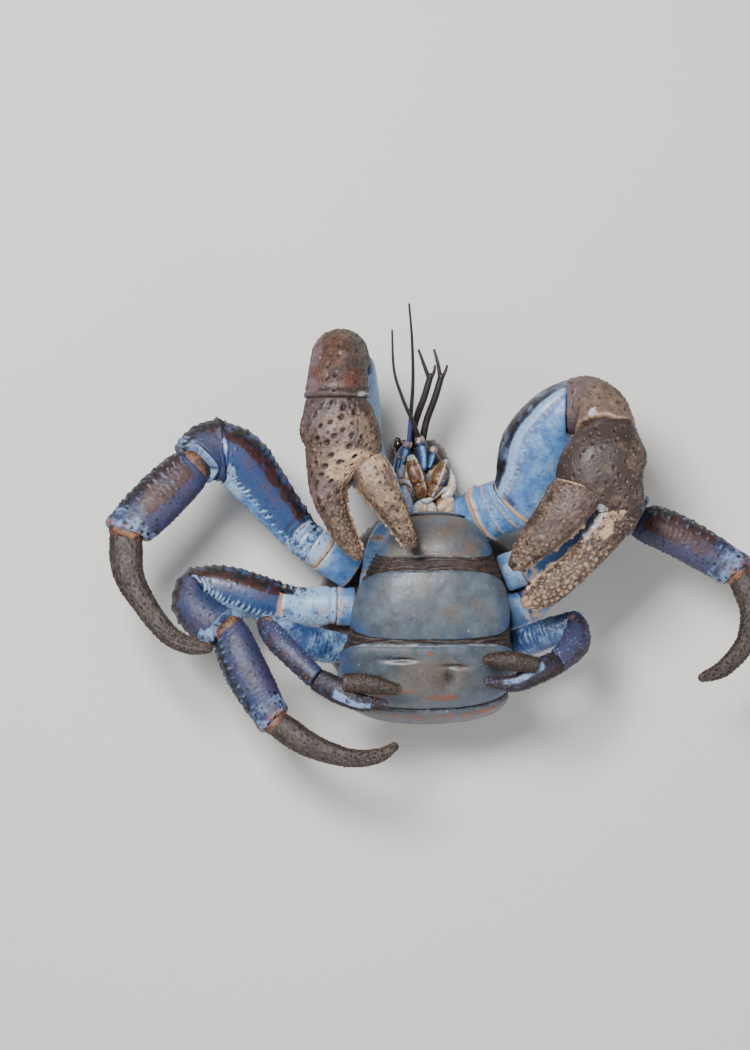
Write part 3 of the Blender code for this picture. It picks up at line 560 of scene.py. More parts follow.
# Rough chitin of the last leg segments: brown grey and dull, with dark bristle pits
dactyl_chitin = cuticle("dactyl_chitin", "#493f39", "#241d1a", {
    "deep": "#17110f", "violet": "#3a333c", "rust": "#4a2216", "cream": "#846b5a",
    "pale": "#7c7772", "ink": "#0a0706"}, mottle=4.0, pore=1.3, pore_size=0.1,
    grain_height=0.6, rough=(0.5, 0.72))
# Thick dorsal shell: dark violet brown, finely pitted
shell_chitin = cuticle("shell_chitin", "#4d3b37", "#271c1e", {
    "deep": "#1a1416", "violet": "#352d4a", "rust": "#4f2118", "cream": "#87695a",
    "pale": "#747b8c", "ink": "#0b0809"}, mottle=8.0, pore=1.8, pore_size=0.1,
    grain_height=0.4, rough=(0.42, 0.6), coat=0.1)
# Tough skin between the plates: fibrous, leathery and dark brown
joint_skin = cuticle("joint_skin", "#3d2822", "#170e0c", {
    "deep": "#120b0a", "violet": "#3a2d38", "rust": "#5d2418", "cream": "#9c6543",
    "pale": "#b9a795", "ink": "#070404"}, mottle=3.0, pore=5.0, pore_size=0.01,
    grain_height=0.5, rough=(0.5, 0.72), streak=(0.25, 1.6, 1.6))
# Thin pale chitin round the mouth: cream going to blue and rust
mouth_chitin = cuticle("mouth_chitin", "#c7b093", "#8c6f55", {
    "deep": "#5b90cf", "violet": "#6d5f72", "rust": "#5e2f17", "cream": "#bd9571",
    "pale": "#a9b5c0", "ink": "#0f0a0a"}, mottle=3.0, pore=2.2, pore_size=0.06,
    rough=(0.34, 0.55), coat=0.2)
# Ringed chitin of the feelers: nearly black, dull
feeler_chitin = cuticle("feeler_chitin", "#241815", "#0e0908", {
    "rust": "#3b1d16", "violet": "#353a72", "ink": "#050303", "pale": "#6f5a50"}, mottle=1.5,
    pore=1.2, rough=(0.42, 0.6))
# Cornea of the eye: smooth, glossy and nearly black red
eye_cornea = cuticle("eye_cornea", "#3a100c", "#1c0706", {"rust": "#7c3a2a", "ink": "#0a0404"},
                     mottle=1.0, grain_height=0.0, pore=4.0, pore_size=0.01, rough=(0.08, 0.14),
                     coat=0.8)
# Stiff bristles: translucent horn, golden at the tips and brown at the roots
golden_bristle = cuticle("golden_bristle", "#a27a48", "#5f4124", {"ink": "#20130b"}, mottle=2.0,
                         pore=9.0, pore_size=0.001, rough=(0.4, 0.55))
dark_bristle = cuticle("dark_bristle", "#4b3220", "#22150d", {"ink": "#0c0705"}, mottle=2.0,
                       pore=9.0, pore_size=0.001, rough=(0.45, 0.6))


# Limbs: every segment is square to the turn between it and the next one


def heading(rows, end):
    """Direction of a table's stations at its first end, where end is 1, or last, where it is -1."""
    near, far = (rows[0], rows[1]) if end == 1 else (rows[-2], rows[-1])
    return unit(np.subtract(far[:3], near[:3]))


def chain(parts, ways=None):
    """Bare tubes of the segments that follow one another; parts rows are (name, table, shape)."""
    ways = ways or {}
    made = {}
    firsts = [heading(table, 1) for _, table, _ in parts]
    finals = [heading(table, -1) for _, table, _ in parts]
    for k, (name, table, shape) in enumerate(parts):
        before = ways.get(parts[k - 1][0]) if k else firsts[k]
        start_way = before if before is not None else finals[k - 1] + firsts[k]
        after = finals[k] if k == len(parts) - 1 else finals[k] + firsts[k + 1]
        made[name] = Shell(table, start_way, ways.get(name, after), **shape)
    return made


# Share of a segment over which a drawn-back rim fades out
SCOOP = 0.35


def scoop(shell, angle, half, depth, start=False):
    """Draw the rim back along the limb on one side, so that the joint's skin shows."""
    near = ease((SCOOP - shell.t) / SCOOP) if start else ease((shell.t - 1 + SCOOP) / SCOOP)
    shift = shell.facing(angle, half, half * 0.8) * near * depth * (-1 if start else 1)
    shell.point = shell.point - shell.along[:, None] * shift[..., None]
    shell.normal = shell.outward()


def keel(shell, angle, height, half=20, low=0.1, high=0.92):
    """Raise a rounded edge along the tube."""
    shell.lift(peak(shell.turn(angle), 0, half) * height * shell.between(low, high, 0.1))


def joint_bulge(name, centre, way, half_width, half_depth, reach, tone="cream"):
    """Folded skin that fills a joint between two segments."""
    way = unit(np.array(way, float))
    centre = np.array(centre, float)
    rows = []
    for k, share in ((-1, 0.66), (-0.4, 0.86), (0.4, 0.86), (1, 0.66)):
        rows.append((*(centre + way * reach * k), half_width * share, half_depth * share))
    shell = Shell(rows, way, way, fine=1.2)
    dark = shell.wrinkles(1.7, 0.22, 1.0, 3)
    shell.put(tone, 0.35 + 0.5 * shell.noise(3.0, 3))
    shell.put("rust", 0.45 * ease(shell.noise(5.0, 6)))
    # Painted shade in the troughs of the folds.
    shell.put("ink", dark * 0.35)
    return shell.close(name, joint_skin, "membrane")


def leg_merus(shell, upper, seed):
    """Deep blue upper part with black scales on its edge, and a row of small ridges below."""
    lower = 180 - upper
    face = 1 if upper == 0 else -1
    keel(shell, upper, 1.2, 24)
    keel(shell, lower, 0.8, 26)
    shell.put("deep", 0.9 * shell.facing(upper + 40 * face, 65, 45) + 0.15
              + 0.5 * shell.noise(8, seed))
    shell.put("violet", shell.facing(upper + 60 * face, 24, 22) * shell.between(0.45, 0.95, 0.15)
              * (0.55 + 0.4 * shell.noise(6, seed + 1)))
    shell.put("rust", shell.torn(shell.facing(upper + 48 * face, 14, 16)
                                 * shell.between(0.35, 0.95, 0.12) * 0.9, 5, seed + 2))
    shell.put("ink", shell.facing(upper + 6 * face, 38, 20) * shell.between(0.2, 0.97, 0.08)
              * (0.62 + 1.3 * shell.noise(2.3, seed + 3)))
    for row, turn in enumerate((-14, 2, 16)):
        shell.scales(upper + turn * face, 0.28, 0.96, 15, 1.5, 2.3, 0.75, seed + row, paint="deep",
                     strength=0.5, dark=0.95)
    shell.scales(lower - 50 * face, 0.14, 0.95, 23, 0.95, 2.6, 0.8, seed + 9, drift=-16 * face,
                 strength=1.0, dark=0.9, lean=0.35 * face)
    shell.put("pale", shell.facing(lower - 34 * face, 14, 10) * shell.between(0.6, 0.98, 0.1) * 0.8)
    shell.scales(lower - 20 * face, 0.2, 0.95, 18, 1.0, 2.0, 0.5, seed + 11, lean=0.3 * face)
    shell.put("cream", shell.between(0.0, 0.08, 0.08) * (0.5 + 0.6 * shell.noise(3, seed + 4)))
    shell.put("pale", shell.facing(lower, 25, 25) * (0.25 + 0.4 * shell.noise(4, seed + 5)))
    shell.warts(3.6, 0.7, 0.3, shell.facing(upper + 60 * face, 95, 30) * 0.8, seed + 15, "ink",
                0.75)
    rolled = shell.between(0.96, 1.0, 0.03)
    shell.lift(rolled * 0.5)
    shell.put("pale", shell.torn(rolled * shell.facing(upper + 80 * face, 12, 10) * 0.6, 3,
                                 seed + 16))


def leg_carpus(shell, upper, seed):
    """Swollen knee, streaked with ridges that fan out to its scaled outer edge."""
    face = 1 if upper == 0 else -1
    keel(shell, upper, 1.2, 26)
    shell.put("deep", 0.5 + 0.5 * shell.noise(7, seed))
    for row, turn in enumerate((-22, -6, 9, 24, 39)):
        shell.scales(upper + turn * face, 0.12, 0.93, 9, 1.7, 2.4, 0.8, seed + row,
                     paint="violet", strength=0.7, dark=0.9)
    shell.put("rust", shell.facing(upper + 28 * face, 22, 20) * shell.between(0.1, 0.75, 0.2)
              * (0.45 + 0.6 * shell.noise(4, seed + 2)))
    shell.put("violet", shell.facing(upper + 70 * face, 25, 20)
              * (0.5 + 0.4 * shell.noise(5, seed)))
    shell.warts(2.8, 0.7, 0.35, shell.all_over(0.8), seed + 15, "ink", 0.7)
    rolled = shell.between(0.968, 1.0, 0.02)
    shell.lift(rolled * 0.6)
    shell.put("pale", shell.torn(rolled * 0.8, 5, seed + 16))
    shell.put("ink", shell.facing(upper + 6 * face, 34, 22) * shell.between(0.05, 0.93, 0.05)
              * (0.5 + 1.2 * shell.noise(2.2, seed + 17)))
    shell.put("pale", shell.torn(shell.facing(upper + 30 * face, 30, 20)
                                 * shell.between(0.72, 0.95, 0.08) * 0.8, 4, seed + 18))


def leg_propodus(shell, upper, seed, red=0.9):
    """Wrinkled shank: dark red above, violet below, a smooth blue-white end with black spots."""
    face = 1 if upper == 0 else -1
    keel(shell, upper, 0.8, 28)
    rough = shell.between(0.06, 0.78, 0.08)
    dark = shell.wrinkles(2.7, 0.24, rough * (0.4 + 0.6 * shell.facing(upper + 55 * face, 60, 40)),
                          seed)
    # Painted shade in the troughs of the wrinkles.
    shell.put("ink", dark * 0.3)
    shell.put("rust", red * shell.facing(upper + 62 * face, 34, 22) * shell.between(0.12, 0.7, 0.1)
              * (0.85 + 0.5 * shell.noise(6, seed + 1)))
    shell.put("ink", shell.facing(upper + 8 * face, 34, 18) * rough
              * (0.6 + 1.2 * shell.noise(2.2, seed + 2)))
    shell.put("violet", 0.75 * shell.facing(upper + 135 * face, 40, 30)
              * (0.7 + 0.5 * shell.noise(6, seed + 3)))
    for row, turn in enumerate((-30, -10, 10, 30, 52)):
        shell.scales(upper + turn * face, 0.08 + 0.03 * (row % 2), 0.8, 9, 1.3, 1.7, 0.8,
                     seed + row, paint="pale", strength=0.75 - 0.05 * row, dark=0.95)
    shell.warts(2.6, 0.8, 0.4, rough * 0.9, seed + 7, "ink", 0.75)
    shell.put("deep", 0.35 * rough * (1 + shell.noise(7, seed + 6)))
    bare = shell.between(0.84, 1.0, 0.07)
    shell.put("pale", shell.torn(bare * 0.5, 4, seed + 4))
    shell.put("deep", bare * shell.facing(upper + 30 * face, 50, 30) * 0.35)
    shell.put("cream", shell.between(0.955, 1.0, 0.02) * (0.4 + 0.5 * shell.noise(2, seed + 5)))
    shell.warts(3.6, 1.0, 0.3, bare, seed + 8, "ink", 1.0)
    shell.lift(shell.between(0.93, 1.0, 0.03) * 0.5)


def leg_dactylus(shell, upper, seed):
    """Curved rough claw-like foot with lengthwise rows of bristle pits."""
    for row in range(9):
        shell.scales(upper + row * 40 + 8, 0.05, 0.96, 30, 0.75, 0.9, 0.4, seed + row, paint="pale",
                     strength=0.25, dark=0.9, drift=20)
    shell.warts(1.7, 0.6, 0.33, shell.between(0.03, 1.0, 0.02), seed + 20, "pale", 0.22)
    shell.put("deep", 0.35 + 0.5 * shell.noise(5, seed))
    shell.put("rust", ease((shell.t - 0.55) / 0.45) * (0.35 + 0.4 * shell.noise(4, seed + 1))
              + shell.between(0.0, 0.03, 0.05) * 0.4)
    shell.put("pale", 0.25 * shell.noise(3.2, seed + 2) * (1 - shell.t))
    shell.pits(2.7, 1.15, 0.8, 0.7, shell.between(0.03, 0.97), seed + 21, rim=0.25)
    shell.put("ink", 0.85 * ease((shell.noise(1.6, seed + 23) - 0.25) / 0.25))


def plain_base(shell, seed, cream_low=0.1, cream_high=0.1):
    """Short smooth blue segment near the body, cream at its joints."""
    shell.put("pale", 0.35 + 0.5 * shell.noise(7, seed))
    shell.put("cream", np.maximum(window(shell.t, -1, cream_low, 0.12),
                                  window(shell.t, 1 - cream_high, 2, 0.12))
              * (0.55 + 0.6 * shell.noise(3.5, seed + 1)))
    shell.lift(0.35 * shell.noise(6, seed + 2))


# Depth of a bristle's root in the skin
BURIED = 0.35
# Dark value at a bristle's three root corners, three middle corners and tip
BRISTLE_INK = (0.8, 0.8, 0.8, 0.2, 0.2, 0.2, 0.0)
# The same seven corners in a bristle's small patch of the UV map
BRISTLE_PATCH = 0.003 * np.array([(0, 0), (0.5, 0), (1, 0), (0, 0.6), (0.5, 0.6), (1, 0.6),
                                  (0.5, 1)])


def bristles(name, shell, count, mask, long, wide, kind, seed, lean=0.6, slot="dactyl"):
    """Short stiff setae rooted in a shell's skin, leaning towards its tip, as one mesh."""
    dice = np.random.default_rng(seed)
    rings, around = shell.rise.shape
    weight = np.clip(mask, 0, 1).ravel()
    picks = dice.choice(weight.size, count, p=weight / weight.sum())
    k, i = np.divmod(picks, around)
    root = shell.skin_point[k, i]
    out = shell.normal[k, i]
    along = shell.along[k]
    way = unit(out + along * (lean * dice.uniform(0.5, 1.5, (count, 1)))
               + dice.normal(0, 0.28, (count, 3)))
    length = long * dice.uniform(0.45, 1.25, (count, 1))
    cross = unit(np.cross(way, dice.normal(0, 1, (count, 3))))
    other = np.cross(way, cross)
    root = root - way * BURIED
    half = wide * dice.uniform(0.75, 1.25, (count, 1))
    corner = [root + (cross * math.cos(a) + other * math.sin(a)) * half
              for a in np.radians((0, 120, 240))]
    mid = [p + (way + along * 0.12) * length * 0.55 - (p - root) * 0.35 for p in corner]
    tip = root + unit(way + along * 0.3) * length
    points = np.stack(corner + mid + [tip], axis=1).reshape(-1, 3)
    base = np.arange(count)[:, None] * len(BRISTLE_INK)
    tris = []
    for a, b in ((0, 1), (1, 2), (2, 0)):
        tris += [(a, b, b + 3), (a, b + 3, a + 3), (a + 3, b + 3, 6)]
    tris.append((0, 2, 1))
    faces = (base[:, None] + np.array(tris)[None]).reshape(-1, 3)
    piece = skin(name, points, faces, {"ink": np.tile(BRISTLE_INK, count)})
    home = np.stack((0.02 + 0.95 * i / around, 0.02 + 0.95 * k / rings), axis=-1)
    grid = (home[:, None] + BRISTLE_PATCH[None]).reshape(-1, 2)
    layer = piece.data.uv_layers.new(name="OFBake")
    order = np.empty(len(piece.data.loops), np.int32)
    piece.data.loops.foreach_get("vertex_index", order)
    layer.data.foreach_set("uv", grid[order].astype(np.float32).ravel())
    return hand_over(piece, kind, slot)


def second_leg_right():
    """Second right leg, bent far at the knee, its foot above the third one."""
    made = chain([
        ("coxa", [(-44, -8, 52, 10.5, 8), (-60.5, 3, 58, 11, 9.5)], {}),
        ("merus", [(-60.5, 3, 58, 10.5, 9.5), (-75.5, 15.5, 61, 10.5, 10.5),
                   (-96, 41, 68, 14, 12.5), (-108.5, 56, 73, 16, 13),
                   (-118.5, 61.5, 76, 17, 13)], {}),
        ("carpus", [(-118.5, 61.5, 76, 17, 13), (-127, 60.5, 80, 15.5, 12.5),
                    (-134, 53, 86, 13, 11.5)], {"fine": 0.8}),
        ("propodus", [(-134, 53, 86, 12.5, 11), (-152.5, 34.5, 92, 14, 11.5),
                      (-171.5, 15, 97, 13, 10)], {"neck": 0.1}),
        ("dactylus", [(-171.5, 15, 97, 11, 8.5), (-170, -7, 101, 8.5, 8),
                      (-160, -25.5, 104, 6.5, 6.5), (-147, -41.5, 107, 5.5, 5.5),
                      (-134.5, -48, 110, 4.5, 4.5), (-124, -49.5, 112, 2.6, 2.8)],
         {"tip": True, "neck": 0.12}),
    ], ways={"merus": (-1, -0.15, 0.12)})
    plain_base(made["coxa"], 11, 0.05, 0.05)
    merus = made["merus"]
    leg_merus(merus, 0, 21)
    merus.put("cream", merus.torn(merus.between(0.0, 0.055, 0.02) * 0.85, 4, 5))
    merus.put("pale", merus.torn(merus.between(0.05, 0.26, 0.03) * 0.7, 4, 7))
    merus.put("rust", 0.6 * peak(merus.t, 0.062, 0.01))
    for at, sway, cream in ((0.105, 0.03, 0.9), (0.165, 0.07, 0.75), (0.2, 0.09, 0.6),
                            (0.255, 0.06, 0.35)):
        crest = at + sway * np.cos(np.radians(merus.angle - 70)) + 0.012 * merus.noise(9, 6)
        fold = peak(merus.t, crest, 0.011) * merus.facing(95, 80, 30)
        merus.lift(-0.9 * fold)
        merus.put("ink", 0.5 * fold)
        band = peak(merus.t - crest, -0.012, 0.008) * merus.facing(95, 80, 30)
        merus.put("cream", merus.torn(band * cream, 5, int(at * 1000)))
    leg_carpus(made["carpus"], 0, 31)
    scoop(made["carpus"], 105, 40, 6.5)
    leg_propodus(made["propodus"], 0, 41)
    scoop(made["propodus"], 95, 30, 2.0, start=True)
    leg_dactylus(made["dactylus"], 0, 51)
    return made


def third_leg_right():
    """Third right leg, bent low, its foot curled round the rear of the abdomen."""
    made = chain([
        ("coxa", [(-43, -28, 48, 11.5, 9), (-53.5, -27.5, 49, 11.5, 9.5)], {}),
        ("merus", [(-53.5, -27.5, 49, 11, 9.5), (-79, -27.5, 51, 10, 9),
                   (-100.5, -22.5, 54, 12, 11.5), (-120, -16.5, 56, 11, 11),
                   (-137, -14, 58, 7.5, 9)], {}),
        ("carpus", [(-137, -14, 58, 7.5, 9), (-136, -26, 62, 11, 11),
                    (-126, -36, 66, 12, 11), (-114.5, -41, 70, 11, 10)], {"fine": 0.8}),
        ("propodus", [(-114.5, -41, 70, 10.5, 9.5), (-104, -64.5, 76, 12, 10.5),
                      (-87.5, -93, 82, 9.5, 8.5)], {"neck": 0.1}),
        ("dactylus", [(-87.5, -93, 82, 8.5, 7.5), (-69, -105, 87, 7, 6.5),
                      (-48, -112, 92, 5.2, 5), (-31, -111.5, 97, 4, 4.2),
                      (-19.5, -105.5, 100, 2.2, 2.4)], {"tip": True, "neck": 0.12}),
    ])
    plain_base(made["coxa"], 12, 0.05, 0.3)
    merus = made["merus"]
    leg_merus(merus, 0, 61)
    merus.put("deep", 0.6 * merus.between(0.35, 1.0, 0.1))
    for at in (0.03, 0.33):
        fold = peak(merus.t, at, 0.012)
        merus.lift(-0.7 * fold)
        merus.put("cream", peak(merus.t, at, 0.03))
    merus.put("pale", merus.torn(merus.between(0.0, 0.32, 0.03) * 0.7, 7, 8))
    leg_carpus(made["carpus"], 0, 71)
    scoop(made["carpus"], 110, 40, 5.5)
    leg_propodus(made["propodus"], 0, 81, red=0.35)
    made["propodus"].put("deep", 0.4 + 0.5 * made["propodus"].noise(7, 82))
    leg_dactylus(made["dactylus"], 0, 91)
    return made


def second_leg_left():
    """Second left leg, stretched out to the side."""
    made = chain([
        ("coxa", [(44, -9, 50, 11, 9), (54.5, -5, 52, 11, 9.5)], {}),
        ("merus", [(54.5, -5, 52, 11, 9.5), (77, 8, 55, 13.5, 12), (93, 20, 58, 14.5, 12.5),
                   (102, 26, 60, 14.5, 12)], {}),
        ("carpus", [(102, 26, 60, 14.5, 12), (112.5, 28.5, 62, 12, 11.5),
                    (122, 22, 62, 10.5, 10.5)], {"fine": 0.8}),
        ("propodus", [(122, 22, 62, 10.5, 10.5), (145.5, 12, 66, 11.5, 11),
                      (179, -8, 70, 10.5, 9.5)], {"neck": 0.1}),
        ("dactylus", [(179, -8, 70, 8.5, 8), (185.5, -27.5, 76, 7, 7),
                      (181, -47, 83, 5.5, 5.8), (167.5, -61.5, 90, 4.5, 4.6),
                      (154.5, -67, 94, 2.4, 2.6)], {"tip": True, "neck": 0.12}),
    ])
    plain_base(made["coxa"], 13, 0.05, 0.2)
    leg_merus(made["merus"], 180, 101)
    leg_carpus(made["carpus"], 180, 111)
    leg_propodus(made["propodus"], 180, 121, red=1.0)
    leg_dactylus(made["dactylus"], 180, 131)
    return made


def third_leg_left():
    """Third left leg, low and folded forward behind the claw."""
    made = chain([
        ("coxa", [(46, -32, 46, 11, 9), (56.5, -30, 44, 11, 9.5)], {}),
        ("merus", [(56.5, -30, 44, 10, 9.5), (74, -12, 37, 10.5, 10.5),
                   (91, 4, 30, 11, 10.5), (105, 20.5, 25, 10.5, 10)], {}),
        ("carpus", [(105, 20.5, 25, 10.5, 10), (110.5, 31, 22, 11, 10.5),
                    (110.5, 42, 22, 10.5, 10.5)], {"fine": 0.8}),
        ("propodus", [(110.5, 42, 22, 10.5, 10.5), (106, 62, 23, 11.5, 10.5),
                      (99, 84, 27, 10, 9)], {"neck": 0.1}),
        ("dactylus", [(99, 84, 27, 8.5, 7.8), (88, 93, 31, 6.5, 6.8),
                      (74, 91, 36, 5.5, 5.6), (62, 78, 41, 4.2, 4.4),
                      (58, 67, 44, 2.2, 2.4)], {"tip": True, "neck": 0.12}),
    ])
    plain_base(made["coxa"], 14, 0.05, 0.2)
    leg_merus(made["merus"], 180, 141)
    leg_carpus(made["carpus"], 0, 151)
    leg_propodus(made["propodus"], 0, 161)
    leg_dactylus(made["dactylus"], 0, 171)
    return made


LEG_FINISH = {"coxa": (blue_chitin, "blue"), "merus": (blue_chitin, "blue"),
              "carpus": (violet_chitin, "violet"), "propodus": (violet_chitin, "violet"),
              "dactylus": (dactyl_chitin, "dactyl")}


def walking_legs():
    """The four big walking legs, with the bristles of their feet."""
    for prefix, leg in (("leg2_r", second_leg_right()), ("leg3_r", third_leg_right()),
                        ("leg2_l", second_leg_left()), ("leg3_l", third_leg_left())):
        for name, shell in leg.items():
            kind, slot = LEG_FINISH[name]
            shell.close_over(f"{prefix}_{name}", kind, slot)
        for name, shell in list(leg.items())[:-1]:
            joint_bulge(f"{prefix}_{name}_joint", shell.centre[-1], shell.along[-1],
                        shell.radius[-1, 0], shell.radius[-1, 0] * 0.92, 5.0)
        foot = leg["dactylus"]
        bristles(prefix + "_foot_bristles", foot, 900, foot.between(0.04, 1.0), 1.5, 0.11,
                 golden_bristle, 7, lean=0.9)
        shank = leg["propodus"]
        bristles(prefix + "_shank_bristles", shank, 260, shank.between(0.1, 0.9), 1.1, 0.1,
                 dark_bristle, 8, lean=1.0, slot="violet")


walking_legs()


# Claws


def blue_arm(shell, seed):
    """Smooth light blue arm with cream folds and a few dark dots."""
    shell.put("pale", 0.3 + 0.5 * shell.noise(8, seed))
    shell.put("deep", 0.3 * ease(shell.noise(11, seed + 1)))
    shell.lift(0.4 * shell.noise(7, seed + 2))
    shell.warts(5.0, 0.45, -0.2, shell.facing(90, 80, 30) * 0.7, seed + 3, "ink", 0.9, tall=0.3)


def claw_base(shell, seed):
    """Pitted mauve brown shell with granules."""
    shell.put("violet", 0.12 + 0.4 * shell.noise(14, seed))
    shell.put("deep", 0.3 + 0.7 * shell.noise(7, seed + 1))
    shell.put("cream", 0.3 * ease(shell.noise(11, seed + 2)))
    shell.lift(0.3 * shell.noise(5, seed + 3))
    shell.warts(1.45, 0.55, 0.24, 0.75 + 0.3 * shell.noise(6, seed + 4), seed + 5, "deep", 0.5)


def finger_skin(shell, seed, low, spacing=1.75):
    """Close-set tubercles with dark gaps between them, from a share of the length to the tip."""
    area = shell.between(low, 1.0, 0.1)
    shell.put("deep", area * (0.55 + 0.3 * shell.noise(3, seed)))
    shell.put("ink", area * (0.2 + 0.35 * shell.noise(1.6, seed + 1)))
    shell.warts(spacing, spacing * 0.52, 0.5, area, seed + 2, "cream", 0.42, tall=0.35)
    shell.put("rust", area * (0.25 + 0.5 * shell.noise(2.2, seed + 3)))


def biting_edge(shell, angle, low, high, count, size, height, seed):
    """Blunt pale teeth, larger and smaller by turns."""
    shell.put("cream", shell.facing(angle, 16, 14) * shell.between(low, high, 0.05) * 0.75)
    for turn, share in ((0, 1.0), (14, 0.45)):
        shell.scales(angle + turn, low, high, count, size, size * 0.9, height * share, seed + turn,
                     paint="pale", strength=0.55, dark=0.5)


def claw_bristles(prefix, seed, *rows):
    """Short golden bristles on a claw; rows are (name, shell, count, mask)."""
    for name, shell, count, mask in rows:
        bristles(f"{prefix}_{name}_bristles", shell, count, mask, 1.0, 0.11, golden_bristle, seed,
                 slot="claw")


